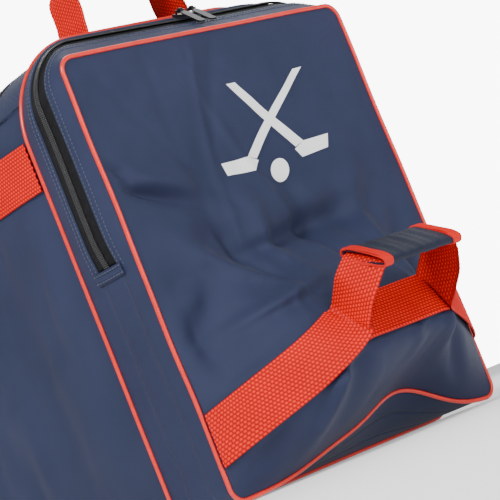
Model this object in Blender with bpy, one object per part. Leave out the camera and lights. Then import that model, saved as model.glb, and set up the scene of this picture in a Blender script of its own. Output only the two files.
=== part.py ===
"""Hockey equipment bag: a long soft kit bag with a zipped end pocket and a zipped lid.

Metres, +Z up. The origin is the centre of the base's underside. +Y runs along the bag away
from the end pocket and +X is to the right of someone who faces the pocket.
"""

import math

import bmesh
import bpy
from mathutils import Matrix, Vector

# ---------------------------------------------------------------- driving dimensions

BODY_LENGTH = 0.800
BODY_WIDTH = 0.390
BODY_HEIGHT = 0.490
SHOULDER_RADIUS = 0.100
BASE_CORNER_RADIUS = 0.020

POCKET_DEPTH = 0.080
POCKET_WIDTH = 0.375
POCKET_HEIGHT = 0.448
POCKET_CORNER_RADIUS = 0.015
POCKET_BULGE = 0.006
POCKET_HINGE_HEIGHT = 0.250
FRONT_STRIP_WIDTH = 0.026

PANEL_SWELL = 0.100
SWELL_HEIGHT = 0.085

WALL = 0.003
BASE_THICKNESS = 0.0045
BOARD_THICKNESS = 0.004
BOARD_SHARE = 0.99
PIPING_DIAMETER = 0.0045
ZIP_WIDTH = 0.028
TAPE_THICKNESS = 0.0016
HEM_WIDTH = 0.040
HEM_HEIGHT = 0.010
HEM_THICKNESS = 0.0018

TOP_STRIP_WIDTH = 0.056
LID_ZIP_ANGLE = math.radians(57)
LID_HINGE_ANGLE = math.radians(35)
LID_CORNER_RADIUS = 0.050

WEBBING_WIDTH = 0.050
WEBBING_THICKNESS = 0.0024
GRIP_THICKNESS = 0.010
GRIP_OVERLAP = 0.002
HANDLE_BEND = 0.014
SEWN_GAP = 0.0012

TOP_HANDLE_SPAN = 0.136
TOP_HANDLE_RISE = 0.034
TOP_HANDLE_FOOT = 0.034
END_HANDLE_SPAN = 0.118
END_HANDLE_RISE = 0.040
END_HANDLE_OFFSET = 0.003
END_HANDLE_HEIGHT = 0.118
END_HANDLE_TILT = math.radians(32)
END_RUN_LOW_LEFT = 0.062
END_RUN_LOW_RIGHT = 0.090
SIDE_HANDLE_SPAN = 0.160
SIDE_HANDLE_RISE = 0.034
SIDE_HANDLE_HEIGHT = 0.372
REAR_HANDLE_SPAN = 0.136
REAR_HANDLE_HEIGHT = 0.200
REAR_RUN_LENGTH = 0.110
HANGING_TILT = math.radians(-70)

SLIDER_LENGTH = 0.015
SLIDER_WIDTH = 0.010
SLIDER_HEIGHT = 0.003
BRIDGE_HEIGHT = 0.0045
BRIDGE_BAR = 0.0016
PULL_LENGTH = 0.032
PULL_WIDTH = 0.0095
PULL_THICKNESS = 0.0014
POCKET_SLIDER_X = 0.022
POCKET_PULL_DROOP = math.radians(14)
MAIN_PULL_DROOP = math.radians(14)

GAP = 0.0003
PIVOT_CLEARANCE = 0.0020
COIL_CLEARANCE = 0.0018
KNUCKLE_CLEARANCE = 0.0005

ARC_STEPS = 6
PIPING_SIDES = 8

# ---------------------------------------------------------------- derived places

PIPING_RADIUS = PIPING_DIAMETER / 2
SEAM_CLEARANCE = PIPING_RADIUS + GAP
FLOOR_CLEARANCE = 0.003
BODY_FRONT = -BODY_LENGTH / 2
BODY_REAR = BODY_LENGTH / 2
POCKET_FRONT = BODY_FRONT - POCKET_DEPTH
HINGE_Y = POCKET_FRONT - PIPING_RADIUS
ZIP_HALF = ZIP_WIDTH / 2
ZIP_CENTRE_DEPTH = FRONT_STRIP_WIDTH + ZIP_HALF
PIVOT_HEIGHT = WEBBING_WIDTH / 2 + PIVOT_CLEARANCE
CROWN_HALF = BODY_WIDTH / 2 - SHOULDER_RADIUS
LID_ZIP_REACH = CROWN_HALF + SHOULDER_RADIUS * LID_ZIP_ANGLE
LID_HINGE_REACH = CROWN_HALF + SHOULDER_RADIUS * LID_HINGE_ANGLE
LID_ZIP_FRONT = BODY_FRONT + TOP_STRIP_WIDTH + ZIP_HALF
LID_ZIP_REAR = BODY_REAR - TOP_STRIP_WIDTH - ZIP_HALF

NAVY = (0.050, 0.064, 0.130)
LINING_NAVY = (0.030, 0.036, 0.060)
WEBBING_RED = (0.640, 0.045, 0.022)
PIPING_RED = (0.700, 0.075, 0.030)
TAPE_BLACK = (0.012, 0.012, 0.014)
METAL_BLACK = (0.030, 0.030, 0.034)
BOARD_GREY = (0.060, 0.060, 0.065)


# ---------------------------------------------------------------- scene helpers

def clear_scene():
    for old in list(bpy.data.objects):
        bpy.data.objects.remove(old, do_unlink=True)


def make_material(name, colour, roughness, metallic=0.0):
    material = bpy.data.materials.new(name)
    material.use_nodes = True
    shader = material.node_tree.nodes["Principled BSDF"]
    shader.inputs["Base Color"].default_value = (*colour, 1.0)
    shader.inputs["Roughness"].default_value = roughness
    shader.inputs["Metallic"].default_value = metallic
    return material


def make_pivot(name, matrix, parent=None):
    """An empty on a joint's axis, which carries the pieces that turn or slide with it."""
    empty = bpy.data.objects.new(name, None)
    empty.empty_display_size = 0.03
    bpy.context.collection.objects.link(empty)
    empty.parent = parent
    empty.matrix_world = matrix
    bpy.context.view_layer.update()
    return empty


def add_piece(name, mesh, colour, roughness, metallic=0.0, pivot=None, smooth=False):
    """Link one solid, given in its pivot's own frame or, with no pivot, in the bag's."""
    piece = bpy.data.objects.new(name, mesh)
    bpy.context.collection.objects.link(piece)
    mesh.materials.append(make_material(name, colour, roughness, metallic))
    piece.parent = pivot
    if smooth:
        mesh.shade_smooth()
        mesh.set_sharp_from_angle(angle=math.radians(40))
    return piece


def mesh_from_bmesh(name, work):
    bmesh.ops.recalc_face_normals(work, faces=work.faces)
    mesh = bpy.data.meshes.new(name)
    work.to_mesh(mesh)
    work.free()
    return mesh


def loft(name, rings, closed=False):
    """Skin rings of equal, even length; each end is capped by a ladder across its ring."""
    work = bmesh.new()
    corners = [[work.verts.new(point) for point in ring] for ring in rings]
    count = len(rings[0])
    spans = len(rings) if closed else len(rings) - 1
    for i in range(spans):
        here = corners[i]
        following = corners[(i + 1) % len(rings)]
        for j in range(count):
            k = (j + 1) % count
            work.faces.new((here[j], here[k], following[k], following[j]))
    if not closed:
        for ring in (corners[0], corners[-1]):
            for j in range(count // 2 - 1):
                work.faces.new((ring[j], ring[j + 1], ring[count - 2 - j], ring[count - 1 - j]))
    return mesh_from_bmesh(name, work)


def sheet(name, rows):
    """A thin solid from rows of (inner point, outer point) pairs."""
    rings = []
    for row in rows:
        inner = [pair[0] for pair in row]
        outer = [pair[1] for pair in row]
        rings.append(inner + outer[::-1])
    return loft(name, rings)


def prism(name, outline, start, end):
    """A flat outline of points, carried from the start offset to the end offset."""
    work = bmesh.new()
    lower = [work.verts.new(point + start) for point in outline]
    upper = [work.verts.new(point + end) for point in outline]
    work.faces.new(lower)
    work.faces.new(upper[::-1])
    count = len(outline)
    for i in range(count):
        k = (i + 1) % count
        work.faces.new((lower[i], upper[i], upper[k], lower[k]))
    return mesh_from_bmesh(name, work)


def tunnel(name, outer, inner, start, end):
    """A prism with a hole; both outlines have the same number of points."""
    work = bmesh.new()
    rings = []
    for outline, offset in ((outer, start), (outer, end), (inner, end), (inner, start)):
        rings.append([work.verts.new(point + offset) for point in outline])
    count = len(outer)
    for i in range(4):
        here = rings[i]
        following = rings[(i + 1) % 4]
        for j in range(count):
            k = (j + 1) % count
            work.faces.new((here[j], here[k], following[k], following[j]))
    return mesh_from_bmesh(name, work)


def join_solids(name, solids):
    """Union several solids into one closed body with exact Booleans."""
    objects = []
    for index, solid in enumerate(solids):
        part = bpy.data.objects.new(f"{name}_raw_{index}", solid)
        bpy.context.collection.objects.link(part)
        objects.append(part)
    base = objects[0]
    for other in objects[1:]:
        union = base.modifiers.new("union", "BOOLEAN")
        union.operation = "UNION"
        union.solver = "EXACT"
        union.object = other
    bpy.context.view_layer.update()
    evaluated = base.evaluated_get(bpy.context.evaluated_depsgraph_get())
    mesh = bpy.data.meshes.new_from_object(evaluated)
    mesh.name = name
    for part in objects:
        bpy.data.objects.remove(part, do_unlink=True)
    return mesh


# ---------------------------------------------------------------- cross-sections

class Section:
    """A rounded cross-section in X and Z.

    Its parameter runs 0 to 8: lower left corner, left side, left shoulder, top, right
    shoulder, right side, lower right corner and bottom, one unit each.
    """

    def __init__(self, half_width, bottom, top, low_radius, high_radius):
        self.half_width = half_width
        self.bottom = bottom
        self.top = top
        self.low_radius = low_radius
        self.high_radius = high_radius

    def blend(self, other, share):
        def between(one, two):
            return one + (two - one) * share

        return Section(
            between(self.half_width, other.half_width),
            between(self.bottom, other.bottom),
            between(self.top, other.top),
            between(self.low_radius, other.low_radius),
            between(self.high_radius, other.high_radius),
        )

    def arc(self, centre_x, centre_z, radius, degrees, offset):
        angle = math.radians(degrees)
        reach = radius + offset
        return centre_x + reach * math.cos(angle), centre_z + reach * math.sin(angle)

    def point(self, place, offset=0.0):
        """X and Z at a parameter, pushed out of the section by the offset."""
        place = place % 8
        stretch = int(place)
        share = place - stretch
        low = self.bottom + self.low_radius
        high = self.top - self.high_radius
        low_x = self.half_width - self.low_radius
        high_x = self.half_width - self.high_radius
        if stretch == 0:
            return self.arc(-low_x, low, self.low_radius, 270 - 90 * share, offset)
        if stretch == 1:
            return -self.half_width - offset, low + (high - low) * share
        if stretch == 2:
            return self.arc(-high_x, high, self.high_radius, 180 - 90 * share, offset)
        if stretch == 3:
            return -high_x + 2 * high_x * share, self.top + offset
        if stretch == 4:
            return self.arc(high_x, high, self.high_radius, 90 - 90 * share, offset)
        if stretch == 5:
            return self.half_width + offset, high + (low - high) * share
        if stretch == 6:
            return self.arc(low_x, low, self.low_radius, -90 * share, offset)
        return low_x - 2 * low_x * share, self.bottom - offset

    def place_at_height(self, height):
        """The left side's parameter at a height."""
        low = self.bottom + self.low_radius
        high = self.top - self.high_radius
        return 1 + (height - low) / (high - low)


def steps(start, end, count):
    return [start + (end - start) * i / count for i in range(count + 1)]


BODY_SECTION = Section(
    BODY_WIDTH / 2, FLOOR_CLEARANCE, BODY_HEIGHT, BASE_CORNER_RADIUS, SHOULDER_RADIUS
)
POCKET_SECTION = Section(
    POCKET_WIDTH / 2, FLOOR_CLEARANCE, POCKET_HEIGHT, POCKET_CORNER_RADIUS, POCKET_CORNER_RADIUS
)


def gusset_section(depth):
    """The pocket gusset's cross-section at a depth behind the end panel, and its swell."""
    share = depth / POCKET_DEPTH
    return POCKET_SECTION.blend(BODY_SECTION, share), POCKET_BULGE * math.sin(math.pi * share)


def gusset_top(depth):
    section, swell = gusset_section(depth)
    return section.top + swell


def arch_places(section, height):
    """Parameters from the left side at a height, over the top, to the right side."""
    start = section.place_at_height(height)
    return [start] + steps(2, 3, ARC_STEPS) + steps(4, 5, ARC_STEPS) + [7 - start]


def trough_places(section, height):
    """Parameters from the right side at a height, under the bottom, to the left side."""
    start = section.place_at_height(height)
    return [7 - start] + steps(6, 7, ARC_STEPS) + steps(8, 9, ARC_STEPS) + [8 + start]


def gusset_row(depth, places_of, height, thickness):
    section, swell = gusset_section(depth)
    row = []
    for place in places_of(section, height):
        # Only the zipped arch is swollen; the gusset below it is flat and stands on the floor.
        height_here = section.point(place)[1]
        lift = swell if height_here > POCKET_HINGE_HEIGHT else 0.0
        inner = section.point(place, lift - thickness / 2)
        outer = section.point(place, lift + thickness / 2)
        y = POCKET_FRONT + depth
        row.append((Vector((inner[0], y, inner[1])), Vector((outer[0], y, outer[1]))))
    return row


def gusset_sheet(name, start, end, places_of, height, thickness):
    rows = [gusset_row(d, places_of, height, thickness) for d in steps(start, end, 2)]
    return sheet(name, rows)


# ---------------------------------------------------------------- body surface

def body_point(reach, y, offset=0.0):
    """A point on the body, a distance along the section from the crown's middle line.

    Negative distances run to the left. Beyond the shoulder the surface goes down the side.
    """
    side = -1.0 if reach < 0 else 1.0
    along = abs(reach)
    shoulder_arc = SHOULDER_RADIUS * math.pi / 2
    shoulder_z = BODY_HEIGHT - SHOULDER_RADIUS
    if along <= CROWN_HALF:
        return Vector((side * along, y, BODY_HEIGHT + offset))
    if along <= CROWN_HALF + shoulder_arc:
        angle = (along - CROWN_HALF) / SHOULDER_RADIUS
        radius = SHOULDER_RADIUS + offset
        x = CROWN_HALF + radius * math.sin(angle)
        return Vector((side * x, y, shoulder_z + radius * math.cos(angle)))
    down = along - CROWN_HALF - shoulder_arc
    return Vector((side * (BODY_WIDTH / 2 + offset), y, shoulder_z - down))


def body_pair(reach, y, thickness=WALL):
    return body_point(reach, y, -thickness / 2), body_point(reach, y, thickness / 2)


def side_row(y, edge_reach, side):
    """One cross-section of a side panel, from the base to an edge on the shoulder."""
    row = []
    for place in steps(0, 1, ARC_STEPS // 2) + [2]:
        inner = BODY_SECTION.point(place, -WALL / 2)
        outer = BODY_SECTION.point(place, WALL / 2)
        row.append((Vector((side * -inner[0], y, inner[1])), Vector((side * -outer[0], y, outer[1]))))
    shoulder_end = CROWN_HALF + SHOULDER_RADIUS * math.pi / 2
    for reach in steps(shoulder_end, edge_reach, ARC_STEPS // 2)[1:]:
        row.append(body_pair(side * reach, y))
    return row


def lid_outline(offset):
    """The zip's line round the lid, front right to rear right, pushed outwards by offset.

    Each entry is (reach, y). The line crosses the top, rounds the left corners and comes
    back, and it ends at the lid's hinge on the right shoulder.
    """
    corner_reach = -(LID_ZIP_REACH - LID_CORNER_RADIUS)
    radius = LID_CORNER_RADIUS + offset
    front = LID_ZIP_FRONT + LID_CORNER_RADIUS
    rear = LID_ZIP_REAR - LID_CORNER_RADIUS
    line = [(LID_HINGE_REACH - GAP - 0.001, front - radius)]
    line += [(reach, front - radius) for reach in lid_crossing()]
    for angle in steps(math.pi / 2, math.pi, ARC_STEPS):
        line.append((corner_reach + radius * math.cos(angle), front - radius * math.sin(angle)))
    for angle in steps(math.pi, math.pi / 2, ARC_STEPS):
        line.append((corner_reach + radius * math.cos(angle), rear + radius * math.sin(angle)))
    line += [(reach, rear + radius) for reach in lid_crossing()[::-1]]
    line.append((LID_HINGE_REACH - GAP - 0.001, rear + radius))
    return line


def lid_crossing():
    """Distances from the crown line where the zip's crossing bends with the shoulders."""
    return steps(LID_HINGE_REACH, CROWN_HALF, 3)[1:] + [-CROWN_HALF]


def lid_tape(name, inner_offset, outer_offset):
    rows = []
    for near, far in zip(lid_outline(inner_offset), lid_outline(outer_offset)):
        row = []
        for share in steps(0, 1, 2):
            reach = near[0] + (far[0] - near[0]) * share
            y = near[1] + (far[1] - near[1]) * share
            row.append(body_pair(reach, y, TAPE_THICKNESS))
        rows.append(row)
    return sheet(name, rows)


# ---------------------------------------------------------------- end panel surface

def panel_swell(x, z):
    """How far the end panel is pulled out of its plane by the end handle."""
    half = POCKET_WIDTH / 2
    left_leg = END_HANDLE_OFFSET - END_HANDLE_SPAN / 2
    right_leg = END_HANDLE_OFFSET + END_HANDLE_SPAN / 2
    if x < left_leg:
        across = math.sin(math.pi / 2 * max(0.0, (x + half) / (left_leg + half)))
    elif x > right_leg:
        across = math.sin(math.pi / 2 * max(0.0, (half - x) / (half - right_leg)))
    else:
        across = 1.0
    if z >= POCKET_HINGE_HEIGHT:
        upward = 0.0
    elif z > SWELL_HEIGHT:
        upward = 0.5 + 0.5 * math.cos(math.pi * (z - SWELL_HEIGHT) / (POCKET_HINGE_HEIGHT - SWELL_HEIGHT))
    else:
        upward = math.sin(math.pi / 2 * max(0.0, z - FLOOR_CLEARANCE) / (SWELL_HEIGHT - FLOOR_CLEARANCE))
    return PANEL_SWELL * across * upward


def panel_point(x, z, offset=0.0):
    return Vector((x, POCKET_FRONT - panel_swell(x, z) - offset, z))


def panel_normal(x, z):
    step = 0.0005
    slope_x = (panel_swell(x + step, z) - panel_swell(x - step, z)) / (2 * step)
    slope_z = (panel_swell(x, z + step) - panel_swell(x, z - step)) / (2 * step)
    return Vector((-slope_x, -1.0, -slope_z)).normalized()


def panel_half_width(z):
    """Half the end panel's width at a height, inside its piping."""
    half = POCKET_WIDTH / 2 - SEAM_CLEARANCE
    radius = POCKET_CORNER_RADIUS - SEAM_CLEARANCE
    rise = z - FLOOR_CLEARANCE - SEAM_CLEARANCE
    if rise >= radius:
        return half
    return half - radius + math.sqrt(max(0.0, radius ** 2 - (radius - rise) ** 2))


# ---------------------------------------------------------------- piping

def piping_rings(places, section, y, offset=0.0):
    """Rings round a tube that follows a section's outline in a plane of constant Y."""
    rings = []
    for place in places:
        ring = []
        for k in range(PIPING_SIDES):
            angle = 2 * math.pi * (k + 0.5) / PIPING_SIDES
            radial = PIPING_RADIUS * math.cos(angle)
            x, z = section.point(place, offset + radial)
            ring.append(Vector((x, y + PIPING_RADIUS * math.sin(angle), z)))
        rings.append(ring)
    return rings


def closed_places():
    places = []
    for corner in (0, 2, 4, 6):
        places += steps(corner, corner + 1, ARC_STEPS)
    return places


# ---------------------------------------------------------------- body pieces

def build_body():
    front = BODY_FRONT + SEAM_CLEARANCE
    rear = BODY_REAR - SEAM_CLEARANCE
    build_base(front, rear)
    build_sides(front, rear)
    build_top_strips(front, rear)
    build_end_walls()
    mesh = lid_tape("main_zip_tape_body", GAP / 2, ZIP_HALF - GAP)
    add_piece("main_zip_tape_body", mesh, TAPE_BLACK, 0.75)
    for name, y in (("piping_outer_front", BODY_FRONT), ("piping_outer_rear", BODY_REAR)):
        mesh = loft(name, piping_rings(closed_places(), BODY_SECTION, y), closed=True)
        add_piece(name, mesh, PIPING_RED, 0.3, smooth=True)


def build_base(front, rear):
    half = BODY_WIDTH / 2 - BASE_CORNER_RADIUS - GAP
    outline = [Vector((x, y, 0)) for x, y in ((-half, front), (half, front), (half, rear), (-half, rear))]
    mesh = prism("base_panel", outline, Vector((0, 0, 0)), Vector((0, 0, BASE_THICKNESS)))
    add_piece("base_panel", mesh, NAVY, 0.6)
    low = BASE_THICKNESS + GAP
    outline = [Vector((p.x * BOARD_SHARE, p.y * BOARD_SHARE, 0)) for p in outline]
    mesh = prism("base_board", outline, Vector((0, 0, low)), Vector((0, 0, low + BOARD_THICKNESS)))
    add_piece("base_board", mesh, BOARD_GREY, 0.8)


def build_sides(front, rear):
    left_edge = LID_ZIP_REACH + ZIP_HALF
    right_edge = LID_HINGE_REACH + GAP
    for name, side, edge in (("side_panel_left", -1, left_edge), ("side_panel_right", 1, right_edge)):
        mesh = sheet(name, [side_row(front, edge, side), side_row(rear, edge, side)])
        add_piece(name, mesh, NAVY, 0.6)


def build_top_strips(front, rear):
    """The strips across the top between the end seams and the lid's zip."""
    line = lid_outline(ZIP_HALF)
    half = len(line) // 2
    for name, seam, stretch in (
        ("top_strip_front", front, line[:half]),
        ("top_strip_rear", rear, line[half:]),
    ):
        rows = []
        for reach, y in stretch:
            reach = max(reach, -(LID_ZIP_REACH + ZIP_HALF - GAP))
            rows.append([body_pair(reach, seam), body_pair(reach, y)])
        mesh = sheet(name, rows)
        add_piece(name, mesh, NAVY, 0.6)


def build_end_walls():
    places = closed_places()
    outline = []
    for place in places:
        x, z = BODY_SECTION.point(place, -SEAM_CLEARANCE)
        outline.append(Vector((x, 0, z)))
    for name, y, colour in (
        ("end_wall_front", BODY_FRONT, LINING_NAVY),
        ("end_panel_rear", BODY_REAR, NAVY),
    ):
        start = Vector((0, y - WALL / 2, 0))
        end = Vector((0, y + WALL / 2, 0))
        add_piece(name, prism(name, outline, start, end), colour, 0.6)


# ---------------------------------------------------------------- end pocket pieces

def build_pocket_fixed():
    under_hinge = POCKET_HINGE_HEIGHT - GAP / 2
    over_hinge = POCKET_HINGE_HEIGHT + GAP / 2
    zip_middle = ZIP_CENTRE_DEPTH
    zip_rear = zip_middle + ZIP_HALF
    last = POCKET_DEPTH - SEAM_CLEARANCE

    mesh = gusset_sheet("pocket_gusset_lower", SEAM_CLEARANCE, last, trough_places, under_hinge, WALL)
    add_piece("pocket_gusset_lower", mesh, NAVY, 0.6)
    mesh = gusset_sheet("pocket_gusset_rear", zip_rear, last, arch_places, over_hinge, WALL)
    add_piece("pocket_gusset_rear", mesh, NAVY, 0.6)
    mesh = gusset_sheet(
        "pocket_zip_tape_rear", zip_middle + GAP / 2, zip_rear - GAP, arch_places, over_hinge, TAPE_THICKNESS
    )
    add_piece("pocket_zip_tape_rear", mesh, TAPE_BLACK, 0.75)

    rows = []
    low = FLOOR_CLEARANCE + SEAM_CLEARANCE
    corner = low + POCKET_CORNER_RADIUS
    heights = steps(low, corner, 4) + steps(corner, under_hinge, 16)[1:]
    for z in heights:
        half = panel_half_width(z)
        row = []
        for x in steps(-half, half, 22):
            row.append((panel_point(x, z, -WALL / 2), panel_point(x, z, WALL / 2)))
        rows.append(row)
    add_piece("pocket_panel_lower", sheet("pocket_panel_lower", rows), NAVY, 0.6, smooth=True)

    places = trough_places(POCKET_SECTION, under_hinge)
    mesh = loft("piping_pocket_lower", piping_rings(places, POCKET_SECTION, POCKET_FRONT))
    add_piece("piping_pocket_lower", mesh, PIPING_RED, 0.3, smooth=True)
    build_hems(under_hinge)


def build_hems(top):
    """A hem sewn across each end of the pocket's zip, on the gusset's outer face."""
    for name, side in (("zip_end_hem_left", -1), ("zip_end_hem_right", 1)):
        rows = []
        for depth in steps(ZIP_CENTRE_DEPTH - HEM_WIDTH / 2, ZIP_CENTRE_DEPTH + HEM_WIDTH / 2, 3):
            section, _ = gusset_section(depth)
            x = section.half_width + WALL / 2 + GAP
            row = []
            for z in (top - HEM_HEIGHT, top):
                inner = Vector((side * x, POCKET_FRONT + depth, z))
                row.append((inner, inner + Vector((side * HEM_THICKNESS, 0, 0))))
            rows.append(row)
        add_piece(name, sheet(name, rows), NAVY, 0.6)


def build_pocket_flap():
    """The part of the end pocket that folds down once its zip is open."""
    pivot = make_pivot("pocket_flap_pivot", Matrix.Translation((0, HINGE_Y, POCKET_HINGE_HEIGHT)))
    into_pivot = pivot.matrix_world.inverted()
    over_hinge = POCKET_HINGE_HEIGHT + GAP / 2
    zip_front = FRONT_STRIP_WIDTH

    half = POCKET_WIDTH / 2 - SEAM_CLEARANCE
    outline = [Vector((half, 0, over_hinge)), Vector((-half, 0, over_hinge))]
    for place in steps(2, 3, ARC_STEPS) + steps(4, 5, ARC_STEPS):
        x, z = POCKET_SECTION.point(place, -SEAM_CLEARANCE)
        outline.append(Vector((x, 0, z)))
    start = Vector((0, POCKET_FRONT - WALL / 2, 0))
    end = Vector((0, POCKET_FRONT + WALL / 2, 0))
    panel = prism("pocket_flap_panel", outline, start, end)

    gusset = gusset_sheet(
        "pocket_flap_gusset", SEAM_CLEARANCE, zip_front - GAP, arch_places, over_hinge, WALL
    )
    tape = gusset_sheet(
        "pocket_zip_tape_front", zip_front, ZIP_CENTRE_DEPTH - GAP / 2, arch_places, over_hinge, TAPE_THICKNESS
    )
    places = arch_places(POCKET_SECTION, over_hinge)
    piping = loft("piping_pocket_upper", piping_rings(places, POCKET_SECTION, POCKET_FRONT))

    for mesh, colour, roughness, smooth in (
        (panel, NAVY, 0.6, False),
        (gusset, NAVY, 0.6, False),
        (tape, TAPE_BLACK, 0.75, False),
        (piping, PIPING_RED, 0.3, True),
    ):
        mesh.transform(into_pivot)
        add_piece(mesh.name, mesh, colour, roughness, pivot=pivot, smooth=smooth)
    return pivot


# ---------------------------------------------------------------- lid pieces

def build_lid():
    """The main compartment's lid, hinged along the right shoulder."""
    axis_point = body_point(LID_HINGE_REACH, 0, WALL / 2)
    pivot = make_pivot("lid_pivot", Matrix.Translation(axis_point))
    into_pivot = pivot.matrix_world.inverted()

    line = lid_outline(-ZIP_HALF)
    corner_count = ARC_STEPS + 1
    crossing = len(lid_crossing()) + 1
    edge = line[crossing:crossing + 2 * corner_count]
    rows = []
    for reach, y in edge:
        row = []
        for stop in [reach] + lid_stops(edge[corner_count][0]):
            row.append(body_pair(max(stop, reach), y))
        rows.append(row)
    panel = sheet("lid_panel", rows)
    tape = lid_tape("main_zip_tape_lid", -ZIP_HALF + GAP, -GAP / 2)
    for mesh, colour, roughness in ((panel, NAVY, 0.6), (tape, TAPE_BLACK, 0.75)):
        mesh.transform(into_pivot)
        add_piece(mesh.name, mesh, colour, roughness, pivot=pivot)
    return pivot


def lid_stops(left_edge):
    """Distances from the crown line at which the lid's cross-section has a corner."""
    left = steps(left_edge, -CROWN_HALF, ARC_STEPS)[1:]
    right = steps(CROWN_HALF, LID_HINGE_REACH - GAP, 3)
    return left + right


# ---------------------------------------------------------------- handles

def half_width_past(distance):
    """Half the webbing's width at a distance past a pivot, where its end is round."""
    radius = WEBBING_WIDTH / 2
    return math.sqrt(max(0.0, radius ** 2 - min(distance, 0.96 * radius) ** 2))


def webbing_row(centre, width_direction, half_width, thickness_vector, count=1):
    row = []
    for share in steps(-1, 1, count):
        inner = centre + width_direction * (half_width * share)
        row.append((inner, inner + thickness_vector))
    return row


def leg_rows(base, inward, across, outward, count=1):
    """A webbing leg that stands on the bag: a mitred corner, then up past the pivot."""
    thick = inward * -WEBBING_THICKNESS
    corner = webbing_row(base + outward * SEWN_GAP, across, WEBBING_WIDTH / 2, thick, count)
    corner = [(inner, outer + outward * WEBBING_THICKNESS) for inner, outer in corner]
    rows = [corner]
    rows.append(webbing_row(base + outward * PIVOT_HEIGHT, across, WEBBING_WIDTH / 2, thick, count))
    for share in (0.35, 0.65, 0.85, 0.96):
        past = share * WEBBING_WIDTH / 2
        centre = base + outward * (PIVOT_HEIGHT + past)
        rows.append(webbing_row(centre, across, half_width_past(past), thick, count))
    return rows


def flat_anchor(name, base, inward, across, outward, run):
    """A webbing run sewn flat to a panel for a given length, ending in a standing leg."""
    start = base - inward * run + outward * SEWN_GAP
    rows = [webbing_row(start, across, WEBBING_WIDTH / 2, outward * WEBBING_THICKNESS)]
    rows += leg_rows(base, inward, across, outward)
    add_piece(name, sheet(name, rows), WEBBING_RED, 0.7)


def build_loop(name, span, rise, matrix):
    """The loop that a hand holds, in a frame with X along the strap and Z up the loop.

    It turns about X through the frame's origin. Its legs stand just inside the sewn legs.
    """
    pivot = make_pivot(f"{name}_pivot", matrix)
    leg_x = span / 2 - GAP * 2 - WEBBING_THICKNESS
    across = Vector((0, 1, 0))
    path = [(-leg_x, -share * WEBBING_WIDTH / 2) for share in (0.96, 0.85, 0.65, 0.35)]
    path.append((-leg_x, 0.0))
    for angle in steps(math.pi, math.pi / 2, ARC_STEPS - 2):
        x = -leg_x + HANDLE_BEND + HANDLE_BEND * math.cos(angle)
        path.append((x, rise - HANDLE_BEND + HANDLE_BEND * math.sin(angle)))
    path += [(-x, z) for x, z in path[::-1]]

    rows = []
    for index, (x, z) in enumerate(path):
        before = path[max(index - 1, 0)]
        after = path[min(index + 1, len(path) - 1)]
        along = Vector((after[0] - before[0], 0, after[1] - before[1])).normalized()
        outward = Vector((-along.z, 0, along.x))
        half = half_width_past(max(0.0, -z))
        rows.append(webbing_row(Vector((x, 0, z)), across, half, outward * WEBBING_THICKNESS))
    strap = sheet(f"{name}_strap", rows)
    add_piece(strap.name, strap, WEBBING_RED, 0.7, pivot=pivot)

    grip_half = leg_x - HANDLE_BEND + GRIP_OVERLAP - WEBBING_THICKNESS
    middle = rise + WEBBING_THICKNESS / 2
    slot_half = WEBBING_THICKNESS / 2 + GAP * 2
    inner = rounded_box(WEBBING_WIDTH / 2 + GAP * 2, slot_half, 0.0005, middle)
    outer = rounded_box(
        WEBBING_WIDTH / 2 + GRIP_THICKNESS / 4, GRIP_THICKNESS / 2, GRIP_THICKNESS / 2.2, middle
    )
    grip = tunnel(f"{name}_grip", outer, inner, Vector((-grip_half, 0, 0)), Vector((grip_half, 0, 0)))
    add_piece(grip.name, grip, NAVY, 0.6, pivot=pivot)
    return pivot


def rounded_box(half_y, half_z, radius, middle_z):
    """A rounded rectangle in Y and Z, three points to a corner."""
    points = []
    for corner, (side_y, side_z) in enumerate(((1, 1), (-1, 1), (-1, -1), (1, -1))):
        for share in (0, 1, 2):
            angle = math.pi / 2 * (corner + share / 2)
            y = side_y * (half_y - radius) + radius * math.cos(angle)
            z = side_z * (half_z - radius) + radius * math.sin(angle)
            points.append(Vector((0, y, middle_z + z)))
    return points


def handle_frame(base, along, across, outward, tilt):
    """The loop's frame: at the pivot, tilted by an angle from outward towards across."""
    origin = base + outward * PIVOT_HEIGHT
    up = outward * math.cos(tilt) + across * math.sin(tilt)
    width = up.cross(along)
    columns = Matrix((along, width, up)).transposed().to_4x4()
    return Matrix.Translation(origin) @ columns


def build_flat_handle(name, ends, base, along, across, outward, span, rise, runs, tilt):
    """A whole handle on a flat panel: two sewn runs, a loop and its wrapped grip."""
    for end, sign, run in ((ends[0], -1, runs[0]), (ends[1], 1, runs[1])):
        foot = base + along * (sign * span / 2)
        flat_anchor(f"{name}_webbing_{end}", foot, along * -sign, across, outward, run)
    build_loop(name, span, rise, handle_frame(base, along, across, outward, tilt))


def end_run_height(x):
    """The middle height of the end handle's sewn webbing at a place across the panel."""
    left_leg = END_HANDLE_OFFSET - END_HANDLE_SPAN / 2
    right_leg = END_HANDLE_OFFSET + END_HANDLE_SPAN / 2
    half = POCKET_WIDTH / 2
    if x < left_leg:
        return END_RUN_LOW_LEFT + (END_HANDLE_HEIGHT - END_RUN_LOW_LEFT) * (x + half) / (left_leg + half)
    if x > right_leg:
        return END_RUN_LOW_RIGHT + (END_HANDLE_HEIGHT - END_RUN_LOW_RIGHT) * (half - x) / (half - right_leg)
    return END_HANDLE_HEIGHT


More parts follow.
